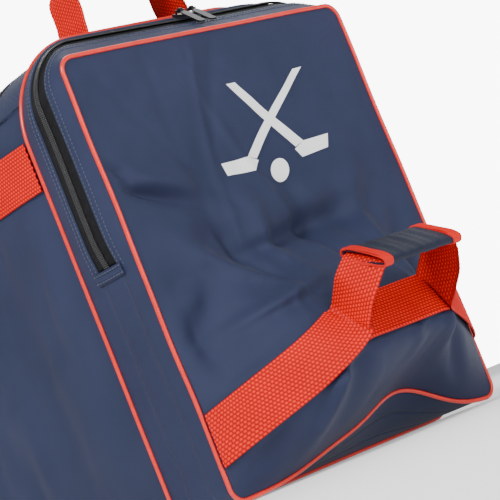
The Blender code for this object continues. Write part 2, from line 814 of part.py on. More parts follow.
def build_end_handle():
    """The grab handle on the end pocket, whose webbing follows the swollen panel."""
    along = Vector((1, 0, 0))
    edge = POCKET_WIDTH / 2 - SEAM_CLEARANCE - WEBBING_WIDTH / 10
    base = panel_point(END_HANDLE_OFFSET, END_HANDLE_HEIGHT, WALL / 2)
    outward = panel_normal(END_HANDLE_OFFSET, END_HANDLE_HEIGHT)
    across = outward.cross(along)
    for side, sign in (("left", -1), ("right", 1)):
        leg_x = END_HANDLE_OFFSET + sign * END_HANDLE_SPAN / 2
        rows = []
        for x in steps(sign * edge, leg_x + sign * WEBBING_THICKNESS * 2, 9):
            row = []
            for c in steps(-WEBBING_WIDTH / 2, WEBBING_WIDTH / 2, 5):
                z = end_run_height(x) + c
                inner = panel_point(x, z, WALL / 2 + SEWN_GAP)
                row.append((inner, inner + panel_normal(x, z) * WEBBING_THICKNESS))
            rows.append(row)
        foot = base + along * (sign * END_HANDLE_SPAN / 2)
        rows += leg_rows(foot, along * -sign, across, outward, 5)
        name = f"end_handle_webbing_{side}"
        add_piece(name, sheet(name, rows), WEBBING_RED, 0.7)
    build_loop("end_handle", END_HANDLE_SPAN, END_HANDLE_RISE,
               handle_frame(base, along, across, outward, END_HANDLE_TILT))


def build_handles():
    build_end_handle()
    x_axis = Vector((1, 0, 0))
    y_axis = Vector((0, 1, 0))
    z_axis = Vector((0, 0, 1))
    strip_middle = BODY_FRONT + SEAM_CLEARANCE + WEBBING_WIDTH / 2 + GAP
    top = Vector((0, strip_middle, BODY_HEIGHT + WALL / 2))
    build_flat_handle("top_handle", ("left", "right"), top, x_axis, y_axis, z_axis,
                      TOP_HANDLE_SPAN, TOP_HANDLE_RISE, (TOP_HANDLE_FOOT, TOP_HANDLE_FOOT), 0.0)

    run = (BODY_LENGTH - SIDE_HANDLE_SPAN) / 2 - SEAM_CLEARANCE - GAP
    for side, sign in (("left", -1), ("right", 1)):
        base = Vector((sign * (BODY_WIDTH / 2 + WALL / 2), 0, SIDE_HANDLE_HEIGHT))
        build_flat_handle(f"side_handle_{side}", ("front", "rear"), base, y_axis, z_axis,
                          x_axis * sign, SIDE_HANDLE_SPAN, SIDE_HANDLE_RISE, (run, run), HANGING_TILT)

    base = Vector((0, BODY_REAR + WALL / 2, REAR_HANDLE_HEIGHT))
    build_flat_handle("rear_handle", ("left", "right"), base, x_axis, z_axis, y_axis,
                      REAR_HANDLE_SPAN, TOP_HANDLE_RISE, (REAR_RUN_LENGTH, REAR_RUN_LENGTH), HANGING_TILT)


# ---------------------------------------------------------------- zip sliders

def slider_mesh(name):
    """A slider with its travel along X and Z out of the tape; Z is 0 under the slider."""
    half_length = SLIDER_LENGTH / 2
    half_width = SLIDER_WIDTH / 2
    outline = []
    for x, y in ((-1, -0.8), (-0.3, -1), (1, -0.75), (1, 0.75), (-0.3, 1), (-1, 0.8)):
        outline.append(Vector((x * half_length, y * half_width, 0)))
    plate = prism(f"{name}_plate", outline, Vector((0, 0, 0)), Vector((0, 0, SLIDER_HEIGHT)))
    low = SLIDER_HEIGHT - BRIDGE_BAR / 2
    high = SLIDER_HEIGHT + BRIDGE_HEIGHT
    outer = rectangle(half_length * 0.8, low, high)
    inner = rectangle(half_length * 0.8 - BRIDGE_BAR, low + BRIDGE_BAR / 4, high - BRIDGE_BAR)
    side = Vector((0, BRIDGE_BAR / 2, 0))
    bridge = tunnel(f"{name}_bridge", outer, inner, -side, side)
    return join_solids(name, [plate, bridge])


def rectangle(half_x, low, high):
    corners = ((-half_x, low), (half_x, low), (half_x, high), (-half_x, high))
    return [Vector((x, 0, z)) for x, z in corners]


def pull_mesh(name):
    """A pull that hangs along -Y from a knuckle round X at the frame's origin."""
    inner_radius = BRIDGE_BAR * 0.75 + KNUCKLE_CLEARANCE
    outer_radius = inner_radius + PULL_THICKNESS * 0.7
    half = BRIDGE_BAR * 1.2
    rings = []
    for radius in (outer_radius, inner_radius):
        ring = []
        for k in range(12):
            angle = 2 * math.pi * k / 12
            ring.append(Vector((0, radius * math.cos(angle), radius * math.sin(angle))))
        rings.append(ring)
    knuckle = tunnel(f"{name}_knuckle", rings[0], rings[1], Vector((-half, 0, 0)), Vector((half, 0, 0)))
    start = -(inner_radius + PULL_THICKNESS * 0.3)
    shoulder = start - 0.005
    end = start - PULL_LENGTH
    wide = PULL_WIDTH / 2
    shape = ((half, start), (wide, shoulder), (wide, end + 0.002), (wide - 0.002, end))
    outline = [Vector((x, y, 0)) for x, y in shape]
    outline += [Vector((-p.x, p.y, 0)) for p in outline[::-1]]
    lift = Vector((0, 0, PULL_THICKNESS / 2))
    plate = prism(f"{name}_plate", outline, -lift, lift)
    return join_solids(name, [plate, knuckle])


def build_slider(prefix, side, frame, parent, droop):
    """One slider and its pull; the pull turns about the slider's bridge bar."""
    name = f"{prefix}_slider_{side}"
    pivot = make_pivot(f"{name}_pivot", frame, parent)
    mesh = slider_mesh(name)
    add_piece(name, mesh, METAL_BLACK, 0.35, 0.8, pivot=pivot)
    bar_height = SLIDER_HEIGHT + BRIDGE_HEIGHT - BRIDGE_BAR / 2
    hang = Matrix.Translation((0, 0, bar_height)) @ Matrix.Rotation(droop, 4, "X")
    pull_name = f"{prefix}_pull_{side}"
    pull_pivot = make_pivot(f"{pull_name}_pivot", frame @ hang, pivot)
    add_piece(pull_name, pull_mesh(pull_name), METAL_BLACK, 0.35, 0.8, pivot=pull_pivot)


def build_pocket_sliders(flap_pivot):
    rise = gusset_top(ZIP_CENTRE_DEPTH + ZIP_HALF) - gusset_top(ZIP_CENTRE_DEPTH - ZIP_HALF)
    slope = Matrix.Rotation(math.atan2(rise, ZIP_WIDTH), 4, "X")
    height = gusset_top(ZIP_CENTRE_DEPTH) + TAPE_THICKNESS / 2 + COIL_CLEARANCE
    spread = SLIDER_LENGTH / 2 + GAP
    for side, sign in (("left", -1), ("right", 1)):
        place = (POCKET_SLIDER_X + sign * spread, POCKET_FRONT + ZIP_CENTRE_DEPTH, height)
        build_slider("pocket", side, Matrix.Translation(place) @ slope, flap_pivot, POCKET_PULL_DROOP)


def build_main_sliders(lid_pivot):
    spread = SLIDER_LENGTH / 2 + GAP
    outward = body_point(-LID_ZIP_REACH, 0, 1.0) - body_point(-LID_ZIP_REACH, 0, 0.0)
    travel = Vector((0, -1, 0))
    width = outward.cross(travel)
    turn = Matrix((travel, width, outward)).transposed().to_4x4()
    for side, sign in (("front", -1), ("rear", 1)):
        foot = body_point(-LID_ZIP_REACH, sign * spread, TAPE_THICKNESS / 2 + COIL_CLEARANCE)
        build_slider("main", side, Matrix.Translation(foot) @ turn, lid_pivot, MAIN_PULL_DROOP)


# ---------------------------------------------------------------- the bag

def build_bag():
    clear_scene()
    build_body()
    build_pocket_fixed()
    flap_pivot = build_pocket_flap()
    lid_pivot = build_lid()
    build_handles()
    build_pocket_sliders(flap_pivot)
    build_main_sliders(lid_pivot)


build_bag()
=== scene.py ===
import math

import bmesh
import bpy
import numpy as np
from mathutils import Matrix, Vector


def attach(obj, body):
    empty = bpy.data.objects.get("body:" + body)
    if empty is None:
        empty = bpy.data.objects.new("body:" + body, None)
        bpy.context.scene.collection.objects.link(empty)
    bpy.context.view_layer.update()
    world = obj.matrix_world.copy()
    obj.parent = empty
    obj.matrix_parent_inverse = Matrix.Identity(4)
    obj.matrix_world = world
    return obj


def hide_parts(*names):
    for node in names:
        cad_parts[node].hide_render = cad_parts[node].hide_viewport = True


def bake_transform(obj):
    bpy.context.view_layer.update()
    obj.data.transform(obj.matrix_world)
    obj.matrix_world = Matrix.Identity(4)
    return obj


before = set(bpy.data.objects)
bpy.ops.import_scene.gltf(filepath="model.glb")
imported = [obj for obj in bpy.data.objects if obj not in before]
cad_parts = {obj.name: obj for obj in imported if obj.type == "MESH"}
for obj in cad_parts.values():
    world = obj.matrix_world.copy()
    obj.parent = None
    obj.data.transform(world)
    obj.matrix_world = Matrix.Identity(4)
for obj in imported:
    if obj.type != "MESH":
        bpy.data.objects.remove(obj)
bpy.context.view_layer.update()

# ---------- sizes, in metres

BODY_HALF = 0.195
BODY_TOP = 0.490
SHOULDER = 0.100
BASE_CORNER = 0.020
SHELL_BOTTOM = 0.003
BODY_FRONT = -0.400
BODY_REAR = 0.400

PANEL_HALF = 0.1875
PANEL_TOP = 0.448
PANEL_CORNER = 0.015
POCKET_DEPTH = 0.080
POCKET_FRONT = BODY_FRONT - POCKET_DEPTH
POCKET_SWELL = 0.006
FLAP_HINGE = 0.250
FRONT_STRIP = 0.026
ZIP_WIDTH = 0.028
ZIP_DEPTH = FRONT_STRIP + ZIP_WIDTH / 2
REAR_STRIP = FRONT_STRIP + ZIP_WIDTH

SWELL = 0.100
SWELL_HEIGHT = 0.085
SIDE_SLACK = 0.011
TOP_SLACK = 0.010

# Distances along the body's section, from the middle of its crown down one side.
CROWN_HALF = BODY_HALF - SHOULDER
SHOULDER_END = CROWN_HALF + SHOULDER * math.pi / 2
SIDE_HEIGHT = BODY_TOP - SHOULDER - SHELL_BOTTOM - BASE_CORNER
SIDE_END = SHOULDER_END + SIDE_HEIGHT + BASE_CORNER * math.pi / 2
LID_ZIP_REACH = CROWN_HALF + SHOULDER * math.radians(57)
LID_HINGE_REACH = CROWN_HALF + SHOULDER * math.radians(35)
LID_ZIP_FRONT = BODY_FRONT + 0.070
LID_ZIP_REAR = BODY_REAR - 0.070
LID_CORNER = 0.050
TOP_STRIP_REACH = 0.300
LID_CORNER_REACH = LID_CORNER - LID_ZIP_REACH
LID_CORNER_FRONT = LID_ZIP_FRONT + LID_CORNER
LID_CORNER_REAR = LID_ZIP_REAR - LID_CORNER

PIPING_RADIUS = 0.00225
WEBBING_WIDTH = 0.050
WEBBING_THICK = 0.0022
WEAVE_PITCH = 0.0042
WEAVE_CORDS = 15
TOOTH_PITCH = 0.0019
COIL_SPACE = 0.0016
COIL_LIFT = 0.0002
PIVOT_HEIGHT = 0.027
SKIN = 0.0015
FABRIC = 0.0022
SEAM_GAP = 0.001
TAPE_THICK = 0.0008
TAPE_DEPTH = 0.0013
TAPE_LAP = 0.002
TAPE_GAP = 0.0006
SIDE_STRAP_Z = 0.372
REAR_STRAP_Z = 0.200
LOOP_RISE = 0.034
SHORT_SPAN = 0.136
SIDE_SPAN = 0.160
TOP_RUN = 0.034
REAR_RUN = 0.110
HANGING = math.radians(-70)
WRAP_SECTION = (0.0275, 0.0052)
BINDING_SECTION = (0.0287, 0.0064)
BINDING_HALF = 0.0055
POCKET_STITCH_ROWS = (0.0022, 0.0075)
LID_STITCH_ROWS = (0.0025, 0.0080)

END_HANDLE_X = 0.003
END_HANDLE_SPAN = 0.118
END_HANDLE_Z = 0.118
END_HANDLE_RISE = 0.040
END_HANDLE_TILT = math.radians(32)
LOOP_BASE_NORMAL = (0, -0.872, 0.489)
END_RUN_LEFT_Z = 0.062
END_RUN_RIGHT_Z = 0.090

# The camera: its sensor in millimetres, and its lens as a multiple of that.
SENSOR = 36
FOCAL_SHARE = 4.132

# ---------- small maths


def steps(start, end, count):
    return np.linspace(start, end, count + 1)


def smooth(value):
    t = np.clip(value, 0.0, 1.0)
    return t * t * (3 - 2 * t)


def unit(vectors):
    return vectors / np.linalg.norm(vectors, axis=-1, keepdims=True)


def ripple(p, scale, seed):
    """Smooth, repeatable unevenness between -1 and 1 at points p, an array of xyz."""
    total = np.zeros(p.shape[:-1])
    rng = np.random.default_rng(seed)
    for octave in range(5):
        direction = unit(rng.normal(size=3))
        wave = 2 * math.pi / scale * (0.6 + 0.35 * octave)
        phase = rng.uniform(0, 2 * math.pi)
        total += np.sin(p @ direction * wave + phase + 0.9 * np.sin(p @ direction[::-1] * wave * 0.6))
    return total / 5


# ---------- the bag's surfaces


class Section:
    """A rounded cross-section in X and Z, with a parameter from 0 to 8 round it."""

    def __init__(self, half, bottom, top, low, high):
        self.sizes = np.array((half, bottom, top, low, high))

    def blend(self, other, share):
        return Section(*(self.sizes * (1 - share) + other.sizes * share))

    def point(self, place, offset=0.0):
        half, bottom, top, low, high = self.sizes
        place = place % 8
        stretch = int(place)
        t = place - stretch
        z1, z2 = bottom + low, top - high
        x1, x2 = half - low, half - high
        if stretch == 1:
            return -half - offset, z1 + (z2 - z1) * t
        if stretch == 3:
            return -x2 + 2 * x2 * t, top + offset
        if stretch == 5:
            return half + offset, z2 + (z1 - z2) * t
        if stretch == 7:
            return x1 - 2 * x1 * t, bottom - offset
        centre = {0: (-x1, z1, low, 270), 2: (-x2, z2, high, 180), 4: (x2, z2, high, 90), 6: (x1, z1, low, 0)}
        cx, cz, radius, start = centre[stretch]
        angle = math.radians(start - 90 * t)
        return cx + (radius + offset) * math.cos(angle), cz + (radius + offset) * math.sin(angle)

    def side_place(self, height):
        _, bottom, top, low, high = self.sizes
        return 1 + (height - bottom - low) / (top - high - bottom - low)


BODY = Section(BODY_HALF, SHELL_BOTTOM, BODY_TOP, BASE_CORNER, SHOULDER)
POCKET = Section(PANEL_HALF, SHELL_BOTTOM, PANEL_TOP, PANEL_CORNER, PANEL_CORNER)


def gusset_point(place_of, depth, offset=0.0):
    """A point on the pocket's gusset, a depth behind the end panel's edge."""
    share = depth / POCKET_DEPTH
    section = POCKET.blend(BODY, share)
    place = place_of(section)
    x, z = section.point(place)
    lift = POCKET_SWELL * math.sin(math.pi * share) * float(smooth((z - FLAP_HINGE + 0.02) / 0.05))
    x, z = section.point(place, lift + offset)
    return x, POCKET_FRONT + depth, z


def loop_place(turn):
    """A place function for a share of the whole loop, 0 at the base's left corner."""
    return lambda section: turn * 8


def arch_place(turn, height=FLAP_HINGE):
    """A place function along the arch from the left side at a height (0) to the right (1)."""
    def place(section):
        start = section.side_place(height)
        end = 7 - start
        return start + (end - start) * turn
    return place


def body_point(reach, y, offset=0.0):
    """A point on the body a distance along the section from the crown line, left negative."""
    side = math.copysign(1.0, reach)
    along = abs(reach)
    if along <= CROWN_HALF:
        return side * along, y, BODY_TOP + offset
    if along <= SHOULDER_END:
        angle = (along - CROWN_HALF) / SHOULDER
        radius = SHOULDER + offset
        z = BODY_TOP - SHOULDER + radius * math.cos(angle)
        return side * (CROWN_HALF + radius * math.sin(angle)), y, z
    down = along - SHOULDER_END
    if down <= SIDE_HEIGHT:
        return side * (BODY_HALF + offset), y, BODY_TOP - SHOULDER - down
    angle = min((down - SIDE_HEIGHT) / BASE_CORNER, math.pi / 2)
    radius = BASE_CORNER + offset
    x = BODY_HALF - BASE_CORNER + radius * math.cos(angle)
    return side * x, y, SHELL_BOTTOM + BASE_CORNER - radius * math.sin(angle)


def leg_x(sign):
    return END_HANDLE_X + sign * END_HANDLE_SPAN / 2


def panel_swell(x, z):
    """How far the end panel is pulled out by its handle, before its folds."""
    half = PANEL_HALF
    left = np.sin(math.pi / 2 * np.clip((x + half) / (leg_x(-1) + half), 0, 1))
    right = np.clip((half - x) / (half - leg_x(1)), 0, 1) ** 0.85
    across = np.minimum(left, right)
    high = 0.5 + 0.5 * np.cos(math.pi * np.clip((z - SWELL_HEIGHT) / (FLAP_HINGE - SWELL_HEIGHT), 0, 1))
    low = np.sin(math.pi / 2 * np.clip((z - SHELL_BOTTOM) / (SWELL_HEIGHT - SHELL_BOTTOM), 0, 1))
    return SWELL * across * np.where(z > SWELL_HEIGHT, high, low)


def ridge(x, z, start, end, width, height):
    """A fold: height along the line from start, dying out at end."""
    ax, az = start
    bx, bz = end
    length = math.hypot(bx - ax, bz - az)
    ux, uz = (bx - ax) / length, (bz - az) / length
    along = ((x - ax) * ux + (z - az) * uz) / length
    across = (x - ax) * -uz + (z - az) * ux
    fade = smooth(1 - np.abs(np.clip(along, -0.35, 1.35) - 0.35) / 0.9)
    spread = width * (0.6 + 0.8 * np.clip(along, 0, 1))
    return height * fade * np.exp(-(across / spread) ** 2)


# Folds of the end panel: start and end in X and Z, width, and height, which is negative for a valley.
PANEL_FOLDS = (
    ((-0.189, 0.351), (-0.146, 0.303), 0.008, -0.010),
    ((-0.156, 0.308), (-0.080, 0.280), 0.009, -0.011),
    ((-0.170, 0.322), (-0.060, 0.298), 0.016, 0.008),
    ((-0.030, 0.222), (0.140, 0.236), 0.018, -0.017),
    ((-0.112, 0.160), (0.004, 0.186), 0.011, 0.014),
    ((-0.130, 0.185), (-0.170, 0.110), 0.030, -0.021),
    ((-0.085, 0.200), (-0.150, 0.262), 0.014, 0.011),
    ((-0.060, 0.190), (-0.080, 0.268), 0.011, -0.012),
    ((-0.030, 0.200), (-0.030, 0.300), 0.014, 0.008),
    ((0.035, 0.180), (0.030, 0.290), 0.012, -0.009),
    ((0.085, 0.170), (0.120, 0.290), 0.014, 0.012),
    ((0.100, 0.150), (0.172, 0.225), 0.014, -0.012),
    ((-0.086, 0.100), (-0.104, 0.000), 0.010, 0.017),
    ((-0.066, 0.095), (-0.060, 0.004), 0.014, -0.010),
    ((-0.140, 0.060), (-0.160, 0.008), 0.012, -0.008),
    ((0.020, 0.085), (0.030, 0.010), 0.012, 0.006),
    ((0.062, 0.085), (0.085, 0.008), 0.010, 0.012),
    ((0.090, 0.075), (0.135, 0.010), 0.013, -0.009),
)


def webbing_cover(x, z):
    """1 where the end handle's webbing is sewn on, fading to 0 beside it."""
    gap = np.abs(z - end_run_height(x))
    return 1 - smooth((gap - WEBBING_WIDTH / 2) / 0.012)


def end_run_height(x):
    """Where the middle of the end handle's webbing crosses the panel."""
    half = PANEL_HALF
    left = END_RUN_LEFT_Z + (END_HANDLE_Z - END_RUN_LEFT_Z) * (x + half) / (leg_x(-1) + half)
    right = END_RUN_RIGHT_Z + (END_HANDLE_Z - END_RUN_RIGHT_Z) * (half - x) / (half - leg_x(1))
    return np.where(x < leg_x(-1), left, np.where(x > leg_x(1), right, END_HANDLE_Z))


def panel_out(x, z):
    """How far the end panel stands out of its plane, folds included."""
    x, z = np.asarray(x, float), np.asarray(z, float)
    edge = np.minimum(np.minimum(PANEL_HALF - np.abs(x), z - SHELL_BOTTOM), PANEL_TOP - z)
    free = smooth(edge / 0.030) * (1 - webbing_cover(x, z))
    folds = sum(ridge(x, z, *fold) for fold in PANEL_FOLDS)
    upper = smooth((z - FLAP_HINGE) / 0.03)
    belly = -0.010 * upper * np.sin(math.pi * np.clip((z - FLAP_HINGE) / (PANEL_TOP - FLAP_HINGE), 0, 1))
    belly *= np.cos(math.pi / 2 * x / PANEL_HALF)
    p = np.stack((x, np.zeros_like(x), z), -1)
    small = 0.0012 * ripple(p, 0.07, 4)
    return panel_swell(x, z) + free * (folds + belly + small)


def panel_point(x, z, offset=0.0):
    return x, POCKET_FRONT - float(panel_out(x, z)) - offset, z


def bottom_lift(x):
    """How far the end panel's bottom edge is pulled up off the floor by the handle."""
    return 0.038 * np.exp(-(((x - 0.060) / 0.060) ** 2)) + 0.016 * np.exp(-(((x + 0.030) / 0.070) ** 2))


def sag(points):
    """The slack of the whole bag, added to every point of every soft piece alike."""
    p = np.array(points, float)
    x, y, z = p[..., 0], p[..., 1], p[..., 2]
    middle = np.clip(1 - np.abs(y / BODY_REAR) ** 3, 0, 1)
    lift = smooth(z / 0.06)
    belly = np.sin(math.pi * np.clip(z / 0.44, 0, 1))
    outward = np.clip(x / BODY_HALF, -1.2, 1.2) ** 3
    high = np.clip(z / BODY_TOP, 0, 1) ** 4
    across = 1 - np.clip(np.abs(x) / BODY_HALF, 0, 1) ** 2
    moved = p.copy()
    moved[..., 0] += middle * outward * belly * SIDE_SLACK
    moved[..., 2] -= middle * high * TOP_SLACK * (1 + across)
    body = smooth((y - BODY_FRONT + 0.01) / 0.05) * smooth((BODY_REAR - y) / 0.04)
    moved[..., 0] += body * lift * 0.0035 * ripple(p, 0.36, 11) * np.abs(outward)
    moved[..., 2] += body * lift * 0.0040 * ripple(p, 0.30, 12) * high
    pocket = smooth((BODY_FRONT + 0.01 - y) / 0.04) * lift
    moved[..., 0] += pocket * 0.0015 * ripple(p, 0.16, 13)
    moved[..., 2] += pocket * 0.0018 * ripple(p, 0.20, 14)
    reach = np.clip((BODY_FRONT - y) / POCKET_DEPTH, 0, 1) ** 1.5
    moved[..., 2] += reach * bottom_lift(x) * (1 - smooth(z / 0.13))
    return moved


def sagged(point):
    return Vector(sag([tuple(point)])[0])


# ---------- mesh helpers


def sheet_mesh(name, points, closed=False, flip=False):
    """A quad mesh over a grid of points, with UVs in metres."""
    p = np.asarray(points, float)
    rows, cols = p.shape[:2]
    faces = []
    for i in range(rows if closed else rows - 1):
        k = (i + 1) % rows
        for j in range(cols - 1):
            quad = (i * cols + j, i * cols + j + 1, k * cols + j + 1, k * cols + j)
            faces.append(quad[::-1] if flip else quad)
    mesh = bpy.data.meshes.new(name)
    mesh.from_pydata(p.reshape(-1, 3).tolist(), [], faces)
    along = np.zeros((rows, cols))
    across = np.zeros((rows, cols))
    along[1:] = np.cumsum(np.linalg.norm(np.diff(p, axis=0), axis=2), axis=0)
    across[:, 1:] = np.cumsum(np.linalg.norm(np.diff(p, axis=1), axis=2), axis=1)
    uv = np.stack((along.mean(axis=1, keepdims=True) + along * 0, across), -1).reshape(-1, 2)
    layer = mesh.uv_layers.new(name="Metres")
    for loop in mesh.loops:
        layer.data[loop.index].uv = uv[loop.vertex_index]
    mesh.shade_smooth()
    return mesh


def link(name, mesh, material):
    piece = bpy.data.objects.new(name, mesh)
    bpy.context.collection.objects.link(piece)
    mesh.materials.append(material)
    return piece


def thicken(piece, thickness, offset=-1.0):
    solid = piece.modifiers.new("thickness", "SOLIDIFY")
    solid.thickness = thickness
    solid.offset = offset
    return piece


def surface(name, points, material, thickness=FABRIC, flip=False, closed=False, bulge=None):
    """A fabric panel on a grid of points, sagged with the bag; bulge moves it along normals."""
    p = np.asarray(points, float)
    if bulge is not None:
        normal = unit(np.cross(np.gradient(p, axis=1), np.gradient(p, axis=0)))
        p = p + (-normal if flip else normal) * bulge(p)[..., None]
    return thicken(link(name, sheet_mesh(name, sag(p), closed, flip), material), thickness)


def ring_tube(name, path, radius, material, sides=10):
    """A round tube along a closed line that faces Y all the way round."""
    p = sag(path)
    tangent = unit(np.roll(p, -1, 0) - np.roll(p, 1, 0))
    side = unit(np.cross(tangent, (0.0, 1.0, 0.0)))
    up = np.cross(side, tangent)
    angles = steps(0, 2 * math.pi, sides)[:, None]
    rings = p[:, None] + radius * (np.cos(angles) * side[:, None] + np.sin(angles) * up[:, None])
    mesh = sheet_mesh(name, rings, closed=True)
    merge_rows(mesh)
    return link(name, mesh, material)


def merge_rows(mesh, outward=True):
    """Joins coincident points; outward turns the faces of a closed tube outwards."""
    work = bmesh.new()
    work.from_mesh(mesh)
    bmesh.ops.remove_doubles(work, verts=work.verts, dist=1e-6)
    if outward:
        bmesh.ops.recalc_face_normals(work, faces=work.faces)
    work.to_mesh(mesh)
    work.free()
    mesh.shade_smooth()


def resample(path, spacing):
    """Even steps along a path whose first three columns are its points."""
    p = np.asarray(path, float)
    gaps = np.linalg.norm(np.diff(p[:, :3], axis=0), axis=1)
    s = np.concatenate(([0], np.cumsum(gaps)))
    count = max(2, int(round(s[-1] / spacing)))
    target = np.linspace(0, s[-1], count + 1)
    return np.stack([np.interp(target, s, p[:, k]) for k in range(p.shape[1])], -1)


def rounded_blocks(name, centres, along, outward, size, material):
    """Many small rounded blocks in one mesh: stitches and zip teeth."""
    length, width, height = size
    ring = ((-0.5, -0.5), (0.5, -0.5), (0.7, 0.0), (0.5, 0.5), (-0.5, 0.5), (-0.7, 0.0))
    verts, faces = [], []
    for c, t, n in zip(centres, unit(along), outward):
        n = unit(n - t * (n @ t))
        s = np.cross(t, n)
        start = len(verts)
        for end, taper in ((-0.5, 0.45), (-0.28, 1.0), (0.28, 1.0), (0.5, 0.45)):
            for a, b in ring:
                verts.append(c + t * length * end + (s * a * width + n * b * height) * taper)
        for k in range(3):
            for j in range(6):
                a, b = start + k * 6 + j, start + k * 6 + (j + 1) % 6
                faces.append((a, b, b + 6, a + 6))
        faces.append(tuple(start + j for j in range(5, -1, -1)))
        faces.append(tuple(start + 18 + j for j in range(6)))
    mesh = bpy.data.meshes.new(name)
    mesh.from_pydata([tuple(v) for v in verts], [], faces)
    mesh.shade_smooth()
    return link(name, mesh, material)


def stitch_line(name, lines, normals, material, pitch=0.0042, length=0.0030, width=0.0009):
    """Dashes of thread along polylines that lie on the fabric."""
    centres, along, outward = [], [], []
    for line, normal in zip(lines, normals):
        p = sag(line)
        both = resample(np.concatenate((p, np.broadcast_to(normal, p.shape)), 1), pitch)
        q, n = both[:, :3], unit(both[:, 3:])
        centres.extend(q + n * width * 0.15)
        along.extend(np.gradient(q, axis=0))
        outward.extend(n)
    return rounded_blocks(name, centres, along, outward, (length, width, width * 0.8), material)


# ---------- materials


class Nodes:
    """A short way to write a material's node tree."""

    def __init__(self, name):
        self.material = bpy.data.materials.new(name)
        self.material.use_nodes = True
        self.tree = self.material.node_tree
        self.shader = self.tree.nodes["Principled BSDF"]
        self.place = self.add("ShaderNodeTexCoord")

    def add(self, kind, **values):
        node = self.tree.nodes.new(kind)
        for key, value in values.items():
            if key in node.inputs:
                node.inputs[key].default_value = value
            else:
                setattr(node, key, value)
        return node

    def wire(self, source, output, target, socket):
        self.tree.links.new(source.outputs[output], target.inputs[socket])

    def set(self, **values):
        for key, value in values.items():
            self.shader.inputs[key.replace("_", " ")].default_value = value

    def noise(self, **values):
        """Noise in the object's own coordinates."""
        node = self.add("ShaderNodeTexNoise", **values)
        self.wire(self.place, "Object", node, "Vector")
        return node

    def ramp(self, source, dark, light, low=0.3, high=0.7):
        """Colours from dark to light, as the source goes from low to high."""
        node = self.add("ShaderNodeValToRGB")
        for stop, position, colour in zip(node.color_ramp.elements, (low, high), (dark, light)):
            stop.position = position
            stop.color = (*colour, 1)
        self.wire(source, "Fac", node, "Fac")
        return node

    def base_ramp(self, *values):
        self.wire(self.ramp(*values), "Color", self.shader, "Base Color")

    def bump(self, source, output, strength, distance):
        node = self.add("ShaderNodeBump", Strength=strength, Distance=distance)
        self.wire(source, output, node, "Height")
        return node

    def rough_between(self, source, smoothest, roughest):
        node = self.add("ShaderNodeMapRange")
        node.inputs["To Min"].default_value = smoothest
        node.inputs["To Max"].default_value = roughest
        self.wire(source, "Fac", node, "Value")
        self.wire(node, "Result", self.shader, "Roughness")


def fabric_material(name, dark, light, weave=900, bump=0.25, roughness=0.55, sheen=0.25, crease=0.0):
    """Woven polyester: a fine twill, uneven tone and a soft sheen."""
    nodes = Nodes(name)
    tone = nodes.noise(Scale=9.0, Detail=5.0, Roughness=0.6)
    nodes.base_ramp(tone, dark, light)
    turn = nodes.add("ShaderNodeMapping")
    turn.inputs["Rotation"].default_value = (0.3, 0.5, 0.8)
    nodes.wire(nodes.place, "Object", turn, "Vector")
    warp = nodes.add("ShaderNodeTexWave", Scale=weave, Distortion=0.6, Detail=1.0)
    warp.bands_direction = "DIAGONAL"
    nodes.wire(nodes.place, "Object", warp, "Vector")
    weft = nodes.add("ShaderNodeTexWave", Scale=weave * 0.8, Distortion=0.6, Detail=1.0)
    nodes.wire(turn, "Vector", weft, "Vector")
    add = nodes.add("ShaderNodeMath", operation="ADD")
    nodes.wire(warp, "Fac", add, 0)
    nodes.wire(weft, "Fac", add, 1)
    fine = nodes.bump(add, "Value", bump, 0.0003)
    crumple = nodes.noise(Scale=38.0, Detail=3.0, Roughness=0.55)
    broad = nodes.bump(crumple, "Fac", 0.35 + crease, 0.0016)
    nodes.wire(fine, "Normal", broad, "Normal")
    nodes.wire(broad, "Normal", nodes.shader, "Normal")
    nodes.rough_between(tone, roughness - 0.08, roughness + 0.10)
    nodes.set(Sheen_Weight=sheen, Sheen_Roughness=0.45, Specular_IOR_Level=0.18)
    return nodes.material


def webbing_material(name, dark, light):
    """Coarse webbing with painted light and shade: the red is painted lighter on the yarn tops and darker in
    the gaps between them.
    """
    nodes = Nodes(name)
    weave = nodes.add("ShaderNodeAttribute", attribute_name="weave")
    # Painted shade and light: the weave height turns the red dark in the gaps between yarns and light on
    # their tops.
    ramp = nodes.ramp(weave, dark, light, 0.0, 0.75)
    tone = nodes.noise(Scale=24.0, Detail=5.0)
    shade = nodes.add("ShaderNodeMix", data_type="RGBA", blend_type="MULTIPLY")
    shade.inputs["Factor"].default_value = 0.5
    tint = nodes.ramp(tone, (0.72, 0.62, 0.62), (1, 1, 1))
    nodes.wire(ramp, "Color", shade, 6)
    nodes.wire(tint, "Color", shade, 7)
    nodes.wire(shade, 2, nodes.shader, "Base Color")
    fibre = nodes.noise(Scale=900.0, Detail=2.0)
    nodes.wire(nodes.bump(fibre, "Fac", 0.4, 0.0003), "Normal", nodes.shader, "Normal")
    nodes.set(Roughness=0.6, Specular_IOR_Level=0.15)
    return nodes.material


def vinyl_material(name, colour, roughness=0.28):
    """Smooth plastic with a thin clear coat, for piping, zip teeth and thread."""
    nodes = Nodes(name)
    tone = nodes.noise(Scale=60.0, Detail=3.0)
    nodes.base_ramp(tone, tuple(channel * 0.8 for channel in colour), colour)
    nodes.wire(nodes.bump(tone, "Fac", 0.2, 0.0006), "Normal", nodes.shader, "Normal")
    nodes.set(Roughness=roughness, Coat_Weight=0.35, Coat_Roughness=0.2)
    return nodes.material


